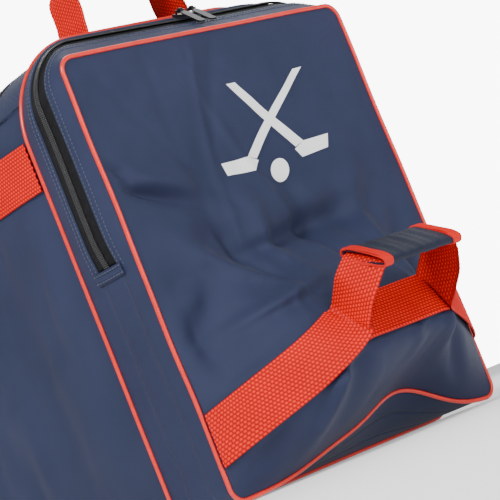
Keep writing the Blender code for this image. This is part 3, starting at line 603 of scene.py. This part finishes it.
def tape_material(name):
    """Black zip tape with fine lengthwise ribs."""
    nodes = Nodes(name)
    split = nodes.add("ShaderNodeSeparateXYZ")
    nodes.wire(nodes.place, "UV", split, "Vector")
    wave = nodes.add("ShaderNodeMath", operation="MULTIPLY")
    wave.inputs[1].default_value = 2 * math.pi / 0.0022
    nodes.wire(split, "Y", wave, 0)
    rib = nodes.add("ShaderNodeMath", operation="SINE")
    nodes.wire(wave, "Value", rib, 0)
    nodes.wire(nodes.bump(rib, "Value", 0.8, 0.0006), "Normal", nodes.shader, "Normal")
    tone = nodes.noise(Scale=300.0, Detail=2.0)
    nodes.base_ramp(tone, (0.003, 0.003, 0.0035), (0.010, 0.010, 0.012))
    nodes.set(Roughness=0.55, Specular_IOR_Level=0.2)
    return nodes.material


def metal_material(name):
    """Dark painted metal with worn, shinier specks."""
    nodes = Nodes(name)
    wear = nodes.noise(Scale=420.0, Detail=4.0)
    nodes.base_ramp(wear, (0.008, 0.008, 0.009), (0.030, 0.030, 0.033), 0.45, 0.8)
    nodes.rough_between(wear, 0.22, 0.42)
    nodes.set(Metallic=0.30)
    return nodes.material


NAVY = fabric_material("navy_polyester", (0.018, 0.024, 0.058), (0.026, 0.033, 0.076), sheen=0.03)
LINING = fabric_material("navy_lining", (0.022, 0.026, 0.045), (0.032, 0.038, 0.062), roughness=0.7)
GRIP_NAVY = fabric_material(
    "navy_grip", (0.010, 0.013, 0.030), (0.016, 0.020, 0.042), bump=0.4, sheen=0.03, crease=0.2)
BOARD = fabric_material("grey_board", (0.05, 0.05, 0.055), (0.075, 0.075, 0.08), roughness=0.8, sheen=0.0)
# The webbing's dark red is painted shade in the gaps between yarns, and its light red is painted light on the
# yarn tops.
RED_WEBBING = webbing_material("red_webbing", (0.34, 0.003, 0.001), (0.98, 0.014, 0.004))
RED_BINDING = fabric_material("red_binding", (0.62, 0.006, 0.002), (0.86, 0.014, 0.004), bump=0.5, sheen=0.05)
RED_PIPING = vinyl_material("red_piping", (0.86, 0.022, 0.006))
TAPE = tape_material("black_tape")
COIL = vinyl_material("black_coil", (0.020, 0.020, 0.022), 0.35)
METAL = metal_material("black_metal")
THREAD_NAVY = vinyl_material("navy_thread", (0.045, 0.055, 0.100), 0.5)
THREAD_RED = vinyl_material("red_thread", (0.62, 0.040, 0.022), 0.5)
PRINT = fabric_material("white_print", (0.88, 0.89, 0.90), (0.95, 0.95, 0.96), roughness=0.45, sheen=0.0)


def own(piece, body, slot, *nodes):
    """Attach a piece to its body and hide the CAD nodes that it stands for. The finish, slot, is not used."""
    if body:
        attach(piece, body)
    if nodes:
        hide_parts(*nodes)
    return piece


# ---------- end pocket


def panel_edge(z):
    """Half the end panel's width at a height."""
    half = PANEL_HALF - 0.0012
    r = PANEL_CORNER
    for gap in (z - SHELL_BOTTOM, PANEL_TOP - z):
        if gap < r:
            half -= r - math.sqrt(max(r * r - (r - gap) ** 2, 0.0))
    return half


def build_end_panel():
    rows = []
    for z in steps(SHELL_BOTTOM + 0.001, PANEL_TOP - 0.001, 220):
        half = panel_edge(z)
        rows.append([panel_point(x, z) for x in steps(-half, half, 180)])
    piece = surface("end_panel_fabric", rows, NAVY)
    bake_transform(piece)
    own(piece, None, "navy_fabric", "pocket_panel_lower", "pocket_flap_panel")


def strip_points(start, end, places, count, offset=0.0):
    return [[gusset_point(place, d, offset) for d in steps(start, end, count)] for place in places]


def build_gussets():
    """The strips round the pocket, and the zip between them over the flap."""
    loop = [loop_place(t) for t in place_steps(260)[:-1]]
    trough = [arch_place_low(t) for t in steps(0, 1, 180)]
    arch = [arch_place(t) for t in steps(0, 1, 240)]
    strip = strip_points(0.0012, FRONT_STRIP, loop, 6)
    front = surface("pocket_gusset_front_fabric", strip, NAVY, closed=True, flip=True)
    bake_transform(front)
    own(front, None, "navy_fabric", "pocket_flap_gusset")
    strip = strip_points(REAR_STRIP, POCKET_DEPTH - SEAM_GAP, loop, 6)
    rear = surface("pocket_gusset_rear_fabric", strip, NAVY, closed=True, flip=True)
    own(rear, "bag_body", "navy_fabric", "pocket_gusset_rear")
    strip = strip_points(FRONT_STRIP, REAR_STRIP, trough, 8)
    lower = surface("pocket_gusset_lower_fabric", strip, NAVY, flip=True)
    own(lower, "bag_body", "navy_fabric", "pocket_gusset_lower")
    for part, first, last, body in (
        ("front", FRONT_STRIP - TAPE_LAP, ZIP_DEPTH - TAPE_GAP, "pocket_flap"),
        ("rear", ZIP_DEPTH + TAPE_GAP, REAR_STRIP + TAPE_LAP, "bag_body"),
    ):
        rows = strip_points(first, last, arch, 8, -TAPE_DEPTH)
        piece = surface(f"pocket_zip_{part}_tape", rows, TAPE, TAPE_THICK, flip=True)
        own(piece, body, "black_zip_tape", f"pocket_zip_tape_{part}")
    for part, offset, body in (("front", -COIL_SPACE, "pocket_flap"), ("rear", COIL_SPACE, "bag_body")):
        coil = coil_blocks(f"pocket_zip_coil_{part}", *gusset_line(arch, ZIP_DEPTH + offset, COIL_LIFT))
        own(coil, body, "black_zip_tape")


def place_steps(count):
    """Shares of the loop, with more of them on the small corners than on the flat sides."""
    weights = np.array((0.10, 0.30, 0.14, 0.28) * 2) * count
    places = []
    for k, weight in enumerate(weights):
        places += list((k + np.arange(int(weight)) / int(weight)) / 8)
    return places + [1.0]


def arch_place_low(turn):
    """A place function under the base, from the arch's right foot (0) to its left foot (1)."""
    def place(section):
        start = section.side_place(FLAP_HINGE)
        return (7 - start) + (1 + 2 * start) * turn
    return place


def line_and_out(point_at, places, lift=0.0):
    """A line over a surface, and the directions in which the surface faces along it."""
    line = np.array([point_at(place, lift) for place in places])
    return line, np.array([point_at(place, lift + 0.01) for place in places]) - line


def gusset_line(places, depth, lift=0.0):
    return line_and_out(lambda place, offset: gusset_point(place, depth, offset), places, lift)


def lid_line(offset, lift=0.0):
    return line_and_out(lambda place, rise: body_point(*place, rise), lid_outline(offset), lift)


def coil_blocks(name, line, out):
    """Zip teeth across a line; out points away from the tape."""
    both = resample(np.concatenate((sag(line), out), 1), TOOTH_PITCH)
    p, n = both[:, :3], unit(both[:, 3:])
    across = np.cross(np.gradient(p, axis=0), n)
    return rounded_blocks(name, p, across, n, (0.0044, 0.0011, 0.0013), COIL)


def build_pocket_piping():
    loop = place_steps(420)[:-1]
    line = [gusset_point(loop_place(t), 0.0, 0.0002) for t in loop]
    piece = ring_tube("pocket_piping", line, PIPING_RADIUS, RED_PIPING)
    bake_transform(piece)
    own(piece, None, "red_piping", "piping_pocket_upper", "piping_pocket_lower")
    for part, y in (("front", BODY_FRONT), ("rear", BODY_REAR)):
        line = [(x, y, z) for x, z in (BODY.point(t * 8, 0.0004) for t in loop)]
        piece = ring_tube(f"{part}_piping", line, PIPING_RADIUS, RED_PIPING)
        own(piece, "bag_body", "red_piping", f"piping_outer_{part}")


def build_hems():
    """The navy hem sewn across each end of the pocket zip, and its stitches."""
    for side, turn, outward in (("left", 0.0, (-1.0, 0, 0)), ("right", 1.0, (1.0, 0, 0))):
        rows = []
        for dz in steps(-0.010, 0.002, 6):
            place = arch_place(turn, FLAP_HINGE + dz)
            lift = 0.0028 - 0.0012 * abs(dz + 0.004) / 0.006
            rows.append([gusset_point(place, ZIP_DEPTH + d, lift) for d in steps(-0.019, 0.019, 16)])
        piece = surface(f"zip_hem_{side}", rows, NAVY, flip=(side == "left"))
        own(piece, "bag_body", "navy_fabric", f"zip_end_hem_{side}")
        lines = []
        for dz in (-0.0075, -0.0005):
            place = arch_place(turn, FLAP_HINGE + dz)
            lines.append([gusset_point(place, ZIP_DEPTH + d, 0.0029) for d in steps(-0.018, 0.018, 12)])
        stitches = stitch_line(f"zip_hem_stitches_{side}", lines, (outward, outward), THREAD_NAVY)
        own(stitches, "bag_body", "navy_fabric")


def build_pocket_stitches():
    arch = [arch_place(t) for t in steps(0, 1, 200)]
    for name, seam, side, body in (
        ("pocket_strip_stitches", FRONT_STRIP, -1, "pocket_flap"),
        ("pocket_rear_stitches", REAR_STRIP, 1, "bag_body"),
    ):
        pairs = [gusset_line(arch, seam + side * offset) for offset in POCKET_STITCH_ROWS]
        own(stitch_line(name, *zip(*pairs), THREAD_NAVY), body, "navy_fabric")


# ---------- generic mark


def build_mark():
    """A plain white print on the flap: two crossed sticks and a ball."""
    slant = 0.30
    centre_x, centre_z = 0.045, 0.345
    shapes = []
    for sign in (-1, 1):
        shaft = ((-0.052, 0.046), (-0.040, 0.046), (0.040, -0.030), (0.028, -0.034))
        blade = ((0.026, -0.036), (0.040, -0.030), (0.074, -0.030), (0.070, -0.044), (0.034, -0.046))
        shapes += [[(sign * px, pz) for px, pz in shape] for shape in (shaft, blade)]
    angles = np.linspace(0, 2 * math.pi, 29)[:-1]
    shapes.append([(0.012 * math.cos(a), -0.052 + 0.012 * math.sin(a)) for a in angles])
    work = bmesh.new()
    for shape in shapes:
        verts = [work.verts.new((px, 0, pz)) for px, pz in shape]
        work.faces.new(verts)
    bmesh.ops.triangulate(work, faces=work.faces)
    for _ in range(4):
        bmesh.ops.subdivide_edges(work, edges=[e for e in work.edges if e.calc_length() > 0.005], cuts=1)
        bmesh.ops.triangulate(work, faces=work.faces)
    for vert in work.verts:
        x = centre_x + vert.co.x + slant * vert.co.z
        vert.co = sagged(panel_point(x, centre_z + vert.co.z, 0.0006))
    bmesh.ops.recalc_face_normals(work, faces=work.faces)
    for face in work.faces:
        if face.normal.y > 0:
            face.normal_flip()
    mesh = bpy.data.meshes.new("flap_print")
    work.to_mesh(mesh)
    work.free()
    own(thicken(link("flap_print", mesh, PRINT), 0.0004, 0.0), "pocket_flap", "navy_fabric")


# ---------- body panels


def build_sides():
    front, rear = BODY_FRONT + SEAM_GAP, BODY_REAR - SEAM_GAP
    for name, side, edge in (("left", -1, LID_ZIP_REACH + ZIP_WIDTH / 2), ("right", 1, LID_HINGE_REACH)):
        reaches = steps(SIDE_END, edge, 90)
        rows = [[body_point(side * r, y) for r in reaches] for y in steps(front, rear, 150)]
        piece = surface(f"side_fabric_{name}", rows, NAVY, flip=(side > 0), bulge=side_folds(side))
        own(piece, "bag_body", "navy_fabric", f"side_panel_{name}")


def side_folds(side):
    """Folds that fade out under the side webbing and at the seams."""
    def bulge(p):
        y, z = p[..., 1], p[..., 2]
        strap = smooth((np.abs(z - SIDE_STRAP_Z) - 0.026) / 0.03)
        ends = smooth((y - BODY_FRONT) / 0.06) * smooth((BODY_REAR - y) / 0.06)
        top = smooth((0.43 - z) / 0.05)
        base = smooth((z - 0.02) / 0.08)
        drape = ripple(p * np.array((1, 1, 0.35)), 0.17, 21 + side)
        small = ripple(p, 0.08, 31 + side)
        return strap * ends * base * top * (0.0125 * drape + 0.0036 * small)
    return bulge


def lid_outline(offset):
    """Reach and Y along the lid's zip, from the fold's front end round to its rear end."""
    corner, front, rear = LID_CORNER_REACH, LID_CORNER_FRONT, LID_CORNER_REAR
    radius = LID_CORNER + offset
    crossing = steps(LID_HINGE_REACH, corner, 60)[:-1]
    line = [(r, front - radius) for r in crossing]
    for angle in steps(math.pi / 2, math.pi, 16):
        line.append((corner + radius * math.cos(angle), front - radius * math.sin(angle)))
    line += [(corner - radius, y) for y in steps(front, rear, 90)[1:-1]]
    for angle in steps(math.pi, math.pi / 2, 16):
        line.append((corner + radius * math.cos(angle), rear + radius * math.sin(angle)))
    line += [(r, rear + radius) for r in crossing[::-1]]
    return line


def lid_band(inner, outer, count, offset):
    """Points on the crown between two lines that follow the lid's zip."""
    near, far = np.array(lid_outline(inner)), np.array(lid_outline(outer))
    across = [near + (far - near) * t for t in steps(0, 1, count)]
    return [[body_point(*place, offset) for place in row] for row in zip(*across)]


def build_top():
    """The strips at the ends of the crown, and the main zip round the lid."""
    half = ZIP_WIDTH / 2
    line = lid_outline(half)
    middle = len(line) // 2
    for part, seam, stretch in (
        ("front", BODY_FRONT + SEAM_GAP, line[:middle]),
        ("rear", BODY_REAR - SEAM_GAP, line[middle:]),
    ):
        rows = []
        for reach, y in stretch:
            if abs(y - seam) < TOP_STRIP_REACH:
                rows.append([body_point(reach, seam + (y - seam) * t) for t in steps(0, 1, 20)])
        piece = surface(f"top_strip_{part}_fabric", rows, NAVY)
        own(piece, "bag_body", "navy_fabric", f"top_strip_{part}")
    for part, inner, outer, body in (
        ("body", TAPE_GAP, half + TAPE_LAP, "bag_body"),
        ("lid", -half - TAPE_LAP, -TAPE_GAP, "lid"),
    ):
        band = lid_band(inner, outer, 8, -TAPE_DEPTH)
        piece = surface(f"main_zip_{part}_tape", band, TAPE, TAPE_THICK, flip=True)
        own(piece, body, "black_zip_tape", f"main_zip_tape_{part}")
    for part, offset, body in (("lid", -COIL_SPACE, "lid"), ("body", COIL_SPACE, "bag_body")):
        own(coil_blocks(f"main_coil_{part}", *lid_line(offset, COIL_LIFT)), body, "black_zip_tape")
    for name, side, body in (("lid_stitches", -1, "lid"), ("top_stitches", 1, "bag_body")):
        pairs = [lid_line(side * (half + offset)) for offset in LID_STITCH_ROWS]
        own(stitch_line(name, *zip(*pairs), THREAD_NAVY), body, "navy_fabric")


def build_lid():
    corner, front, rear = LID_CORNER_REACH, LID_CORNER_FRONT, LID_CORNER_REAR
    radius = LID_CORNER - ZIP_WIDTH / 2
    ys = [front - radius * math.cos(a) for a in steps(0, math.pi / 2, 12)]
    ys += list(steps(front, rear, 110)[1:-1])
    ys += [rear + radius * math.sin(a) for a in steps(0, math.pi / 2, 12)]
    rows = []
    for y in ys:
        beyond = max(front - y, y - rear, 0.0)
        inset = radius - math.sqrt(max(radius ** 2 - beyond ** 2, 0.0))
        left = corner - radius + inset
        rows.append([body_point(r, y) for r in steps(left, LID_HINGE_REACH, 80)])

    def bulge(p):
        y = p[..., 1]
        ends = smooth((y - LID_ZIP_FRONT - 0.02) / 0.07) * smooth((LID_ZIP_REAR - 0.02 - y) / 0.07)
        edge = smooth((p[..., 0] + 0.150) / 0.05) * smooth((0.150 - p[..., 0]) / 0.04)
        waves = 0.006 * ripple(p, 0.20, 41) + 0.002 * ripple(p, 0.09, 42)
        return ends * edge * (waves - 0.010)
    piece = surface("lid_fabric", rows, NAVY, bulge=bulge)
    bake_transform(piece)
    own(piece, None, "navy_fabric", "lid_panel")


def build_ends():
    """The rear end and the wall behind the pocket, as rings that shrink to a centre."""
    outline = np.array([BODY.point(t * 8, -0.0012) for t in place_steps(260)])
    rim = np.stack((outline[:, 0], 0 * outline[:, 0], outline[:, 1]), -1)
    centre = np.array((0.0, 0.0, 0.235))
    flat = np.array([centre + (rim - centre) * share for share in steps(0.0, 1.0, 26)])
    for name, y, sign, material, slot_name, node in (
        ("rear_end_fabric", BODY_REAR, 1, NAVY, "navy_fabric", "end_panel_rear"),
        ("pocket_back_wall", BODY_FRONT, -1, LINING, "inner_fabric", "end_wall_front"),
    ):
        p = flat.copy()
        edge = smooth((1 - np.linspace(0, 1, len(p))) / 0.35)[:, None]
        strap = smooth((np.abs(p[..., 2] - REAR_STRAP_Z) - 0.026) / 0.04) if sign > 0 else 1.0
        p[..., 1] = y + sign * edge * (0.001 + 0.004 * ripple(p, 0.15, 51) * strap)
        mesh = sheet_mesh(name, sag(p), flip=(sign > 0))
        merge_rows(mesh, outward=False)
        own(thicken(link(name, mesh, material), FABRIC), "bag_body", slot_name, node)


# ---------- straps and grips


def soften(data, reach):
    """Rows averaged with their neighbours, so that webbing bends instead of kinking."""
    padded = np.concatenate((np.repeat(data[:1], reach, 0), data, np.repeat(data[-1:], reach, 0)))
    weights = np.hanning(2 * reach + 3)[1:-1]
    weights /= weights.sum()
    return np.stack([np.convolve(padded[:, k], weights, "valid") for k in range(data.shape[1])], -1)


def strap_mesh(name, stations, material):
    """Woven webbing along stations of (point, width direction), with its yarns in relief."""
    data = resample(np.array([tuple(p) + tuple(w) for p, w in stations]), WEAVE_PITCH / 4)
    data = soften(data, 9)
    p, w = data[:, :3], data[:, 3:]
    t = unit(np.gradient(p, axis=0))
    square = w - t * np.sum(w * t, axis=1, keepdims=True)
    length = np.linalg.norm(square, axis=1, keepdims=True)
    n = np.cross(t, square / length)
    s = np.arange(len(p)) * WEAVE_PITCH / 4
    near_end = smooth(1 - np.minimum(s, s[-1] - s) / 0.060)[:, None]
    w = (square * (1 - near_end) + w * near_end) / length
    column = np.arange(WEAVE_CORDS * 3 + 1)
    v = column / column[-1] - 0.5
    cord = np.minimum(column // 3, WEAVE_CORDS - 1)
    across = np.abs(np.sin(math.pi * column / 3))
    knob = np.abs(np.sin(math.pi * (s[:, None] / WEAVE_PITCH + 0.5 * (cord % 2)[None])))
    weave = across[None] * knob
    edge = smooth((0.5 - np.abs(v)) / 0.03)
    lift = WEBBING_THICK * (0.4 + 0.6 * edge)[None] + 0.0008 * weave
    top = p[:, None] + w[:, None] * (v * WEBBING_WIDTH)[None, :, None] + n[:, None] * lift[..., None]
    mesh = sheet_mesh(name, top, flip=True)
    # The weave height is also stored for the webbing material, which paints shade from it in the gaps between
    # yarns and light on their tops.
    layer = mesh.attributes.new("weave", "FLOAT", "POINT")
    layer.data.foreach_set("value", weave.astype(np.float32).ravel())
    return thicken(link(name, mesh, material), WEBBING_THICK * 0.8)


def flat_stations(base, along, across, outward, span, run, tilt, fold=0.005, bend=0.014):
    """Stations of a flat-sewn handle: run, leg, top, leg, run; the loop leans by tilt."""
    half = span / 2
    top = PIVOT_HEIGHT + LOOP_RISE
    inside = half - 0.003
    left = [(x, 0.0) for x in steps(-half - run, -half - fold, 24)]
    for a in steps(0, math.pi / 2, 5)[1:]:
        left.append((-half - fold + fold * math.sin(a), fold - fold * math.cos(a)))
    left += [(-half + 0.0005, PIVOT_HEIGHT * 0.6), (-inside, PIVOT_HEIGHT)]
    for a in steps(0, math.pi / 2, 7):
        left.append((-inside + bend - bend * math.cos(a), top - bend + bend * math.sin(a)))
    stations = []
    for x, h in left + [(-x, h) for x, h in left[::-1]]:
        point = sagged(base + along * x) + outward * (min(h, PIVOT_HEIGHT) + 0.0005)
        lean = tilt * float(smooth((h - PIVOT_HEIGHT * 0.4) / (PIVOT_HEIGHT * 0.8)))
        width = across * math.cos(lean) - outward * math.sin(lean)
        if h > PIVOT_HEIGHT:
            point += (outward * math.cos(tilt) + across * math.sin(tilt)) * (h - PIVOT_HEIGHT)
        stations.append((point, width))
    return stations


def sleeve(name, centre, axes, half_length, section, material):
    """A wrap round the webbing: a flattened tube, fuller in the middle."""
    along, width_dir, up = axes
    half_width, half_thick = section
    rings = []
    for s in steps(-1, 1, 44):
        swell = 1 + 0.05 * math.cos(s * math.pi / 2)
        ring = []
        for a in steps(0, 2 * math.pi, 40):
            c, d = math.cos(a), math.sin(a)
            y = half_width * math.copysign(abs(c) ** 0.75, c)
            z = half_thick * math.copysign(abs(d) ** 0.55, d) * swell
            crease = 0.0011 * math.sin(s * 19 + 2.0 * c) * math.cos(s * 7) * abs(d)
            ring.append(centre + along * (half_length * s) + width_dir * y + up * (z + crease))
        rings.append([tuple(v) for v in ring])
    mesh = sheet_mesh(name, rings)
    merge_rows(mesh)
    return thicken(link(name, mesh, material), 0.0018)


def grip_set(name, centre, axes, half_length, body):
    """The padded wrap, a red bound edge at each end, and the binding of its overlapping flap."""
    along, width_dir, up = axes
    wrap = sleeve(f"{name}_wrap", centre, axes, half_length, WRAP_SECTION, GRIP_NAVY)
    own(wrap, body, "navy_fabric", name)
    for side, sign in (("a", -1), ("b", 1)):
        at = centre + along * (sign * (half_length - 0.0040))
        binding = sleeve(f"{name}_binding_{side}", at, axes, BINDING_HALF, BINDING_SECTION, RED_BINDING)
        own(binding, body, "red_webbing")
    rows = []
    for s in steps(-0.985, 0.985, 40):
        line = centre + along * (half_length * s)
        row = []
        for a in steps(-1, 1, 6):
            under = up * (0.006936 + 0.0006 * math.cos(1.44 * a))
            row.append(tuple(line + width_dir * (0.0035 * a - 0.010) - under))
        rows.append(row)
    piece = link(f"{name}_flap_binding", sheet_mesh(f"{name}_flap_binding", rows), RED_BINDING)
    own(thicken(piece, 0.0012, 0.0), body, "red_webbing")


def box_stitches(name, boxes, normal):
    """Box-and-cross stitches on sewn webbing; each box is its four corner points."""
    lines = []
    for a, b, c, d in boxes:
        for first, last in ((a, b), (b, c), (c, d), (d, a), (a, c), (b, d)):
            lines.append(np.linspace(tuple(first), tuple(last), 6))
    piece = stitch_line(name, lines, [tuple(normal)] * len(lines), THREAD_RED, 0.0036, 0.0026)
    own(piece, "bag_body", "red_webbing")


def build_flat_handle(name, base, along, across, outward, span, run, ends, tilt=0.0):
    """A handle sewn flat on each side of its loop, for a length of run; tilt leans the loop."""
    base, along, across, outward = Vector(base), Vector(along), Vector(across), Vector(outward)
    stations = flat_stations(base, along, across, outward, span, run, tilt)
    if across.cross(outward).dot(along) < 0:
        stations = [(p, -w) for p, w in stations]
    piece = strap_mesh(f"{name}_webbing_strap", stations, RED_WEBBING)
    base = sagged(base)
    loop = f"{name}_loop"
    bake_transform(piece)
    own(piece, None, "red_webbing", f"{name}_strap", *[f"{name}_webbing_{end}" for end in ends])
    loop_up = outward * math.cos(tilt) + across * math.sin(tilt)
    loop_width = across * math.cos(tilt) - outward * math.sin(tilt)
    centre = base + outward * PIVOT_HEIGHT + loop_up * (LOOP_RISE + WEBBING_THICK / 2)
    grip_set(f"{name}_grip", centre, (along, loop_width, loop_up), span / 2 - 0.014, loop)
    near = span / 2 + 0.008
    far = span / 2 + min(run, 0.052) - 0.004
    lift = outward * (WEBBING_THICK + 0.0012)
    corners = ((near, -0.020), (far, -0.020), (far, 0.020), (near, 0.020))
    boxes = [[base + lift + along * (sign * a) + across * b for a, b in corners] for sign in (-1, 1)]
    box_stitches(f"{name}_stitches", boxes, outward)


def build_end_handle():
    """The webbing across the swollen end panel, and the loop that a hand has pulled up."""
    edge = PANEL_HALF - 0.0005

    def on_panel(x):
        """A station on the panel: its point and the webbing's width direction."""
        z = float(end_run_height(x))
        low, high = Vector(panel_point(x, z - 0.02)), Vector(panel_point(x, z + 0.02))
        return sagged(panel_point(x, z, SKIN + 0.0004)), (high - low).normalized()

    def run(start, end, count):
        return [on_panel(x) for x in steps(start, end, count)]

    origin = sagged(panel_point(END_HANDLE_X, END_HANDLE_Z, SKIN))
    normal = Vector(LOOP_BASE_NORMAL).normalized()
    up_panel = Vector((1, 0, 0)).cross(-normal)
    pivot = origin + normal * PIVOT_HEIGHT
    loop_up = normal * math.cos(END_HANDLE_TILT) + up_panel * math.sin(END_HANDLE_TILT)
    loop_width = Vector((1, 0, 0)).cross(loop_up).normalized()
    top = pivot + loop_up * END_HANDLE_RISE
    half = END_HANDLE_SPAN / 2
    foot, foot_width = on_panel(leg_x(-1))
    leg_width = (foot_width * 0.8 - loop_width * 0.5).normalized()
    middle = foot.lerp(top - Vector((half, 0, 0)), 0.5) + normal * 0.006 - Vector((0.002, 0, 0))
    corner = top - Vector((half - 0.012, 0, 0))
    turning = (leg_width - loop_width * 1.2).normalized()
    leg = [(foot + normal * 0.003, foot_width), (middle, leg_width),
           (corner - Vector((0.006, 0, 0)) - loop_up * 0.006, turning), (corner, -loop_width)]
    leg += [(top + Vector((x, 0, 0)), -loop_width) for x in steps(-half + 0.02, 0, 4)]
    other = [(Vector((2 * END_HANDLE_X - point.x, point.y, point.z)), width) for point, width in leg[-2::-1]]
    stations = run(-edge, leg_x(-1) - 0.012, 12) + leg + other + run(leg_x(1) + 0.012, edge, 10)
    piece = strap_mesh("end_handle_webbing_strap", stations, RED_WEBBING)
    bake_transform(piece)
    own(piece, None, "red_webbing", "end_handle_webbing_left", "end_handle_webbing_right", "end_handle_strap")
    base = run(leg_x(-1) - 0.004, leg_x(1) + 0.004, 12)
    own(strap_mesh("end_handle_base_strap", base, RED_WEBBING), "bag_body", "red_webbing")
    centre = top + loop_up * (WEBBING_THICK / 2)
    axes = (Vector((1, 0, 0)), loop_width, loop_up)
    grip_set("end_handle_grip", centre, axes, half - 0.007, "end_handle_loop")


def build_handles():
    x, y, z = (1, 0, 0), (0, 1, 0), (0, 0, 1)
    side_run = BODY_REAR - SIDE_SPAN / 2 - SEAM_GAP
    ends = ("left", "right")
    base = (0, BODY_FRONT + 0.0028 + WEBBING_WIDTH / 2, BODY_TOP + SKIN)
    build_flat_handle("top_handle", base, x, y, z, SHORT_SPAN, TOP_RUN, ends)
    for side, sign in (("left", -1), ("right", 1)):
        base = (sign * (BODY_HALF + SKIN), 0, SIDE_STRAP_Z)
        name = f"side_handle_{side}"
        build_flat_handle(name, base, y, z, (sign, 0, 0), SIDE_SPAN, side_run, ("front", "rear"), HANGING)
    base = (0, BODY_REAR + SKIN, REAR_STRAP_Z)
    build_flat_handle("rear_handle", base, x, z, y, SHORT_SPAN, REAR_RUN, ends, HANGING)


# ---------- CAD pieces that stay


def dress_cad():
    """Zip hardware and the base keep their CAD shape with real finishes; the zip hardware and base panel get
    softened edges.
    """
    for name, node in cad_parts.items():
        if "slider" in name or "pull" in name:
            material, edge = METAL, 0.00035
        elif name in ("base_panel", "base_board"):
            material, edge = (NAVY, 0.001) if name == "base_panel" else (BOARD, 0.0)
        else:
            continue
        node.data.materials.clear()
        node.data.materials.append(material)
        if edge:
            bevel = node.modifiers.new("soft edges", "BEVEL")
            bevel.width = edge
            bevel.segments = 2
            bevel.limit_method = "ANGLE"


# ---------- stage


def build_stage():
    """A pale floor, soft lights, and a world that only the camera sees as bright."""
    nodes = Nodes("studio_floor")
    nodes.set(Base_Color=(0.95, 0.95, 0.95, 1), Roughness=0.9)
    nodes.set(Emission_Color=(1, 1, 1, 1), Emission_Strength=0.3)
    bpy.ops.mesh.primitive_plane_add(size=30, location=(0, 0, 0))
    floor = bpy.context.object
    floor.name = "studio_floor"
    floor.data.materials.append(nodes.material)
    world = bpy.data.worlds.new("studio")
    bpy.context.scene.world = world
    world.use_nodes = True
    tree = world.node_tree
    light = tree.nodes["Background"]
    backdrop = tree.nodes.new("ShaderNodeBackground")
    for node, colour, strength in ((light, (0.96, 0.98, 1.0, 1), 0.55), (backdrop, (1, 1, 1, 1), 9.0)):
        node.inputs["Color"].default_value = colour
        node.inputs["Strength"].default_value = strength
    seen = tree.nodes.new("ShaderNodeLightPath")
    choice = tree.nodes.new("ShaderNodeMixShader")
    tree.links.new(seen.outputs["Is Camera Ray"], choice.inputs["Fac"])
    tree.links.new(light.outputs["Background"], choice.inputs[1])
    tree.links.new(backdrop.outputs["Background"], choice.inputs[2])
    tree.links.new(choice.outputs["Shader"], tree.nodes["World Output"].inputs["Surface"])
    for name, place, target, size, power in (
        ("key_light", (-2.8, -1.6, 2.4), (0, -0.4, 0.3), 1.2, 125),
        ("front_light", (-0.2, -3.4, 1.2), (0, -0.4, 0.25), 1.8, 44),
        ("rim_light", (1.8, 1.4, 2.4), (0, 0, 0.4), 1.8, 40),
    ):
        data = bpy.data.lights.new(name, "AREA")
        data.size = size
        data.energy = power
        lamp = bpy.data.objects.new(name, data)
        bpy.context.collection.objects.link(lamp)
        lamp.location = place
        lamp.rotation_euler = (Vector(target) - Vector(place)).to_track_quat("-Z", "Y").to_euler()


def build_camera():
    """A long lens close to the floor, rolled so that the bag leans as it is carried."""
    azimuth, roll, distance = math.radians(-42.0), math.radians(-22.1), 2.0
    target = Vector((-0.0535, -0.48, 0.2233))
    height = 0.035
    elevation = math.asin((height - target.z) / distance)
    level = math.cos(elevation)
    back = Vector((math.sin(azimuth) * level, -math.cos(azimuth) * level, math.sin(elevation)))
    right = (-back).cross(Vector((0, 0, 1))).normalized()
    data = bpy.data.cameras.new("camera")
    camera = bpy.data.objects.new("camera", data)
    bpy.context.collection.objects.link(camera)
    turn = Matrix((right, right.cross(-back), back)).transposed() @ Matrix.Rotation(roll, 3, "Z")
    camera.matrix_world = Matrix.Translation(target + back * distance) @ turn.to_4x4()
    data.sensor_width = SENSOR
    data.lens = FOCAL_SHARE * SENSOR
    data.clip_start = 0.05
    bpy.context.scene.camera = camera


build_camera()
build_stage()
build_end_panel()
build_gussets()
build_pocket_piping()
build_hems()
build_pocket_stitches()
build_mark()
build_sides()
build_top()
build_lid()
build_ends()
build_handles()
build_end_handle()
dress_cad()
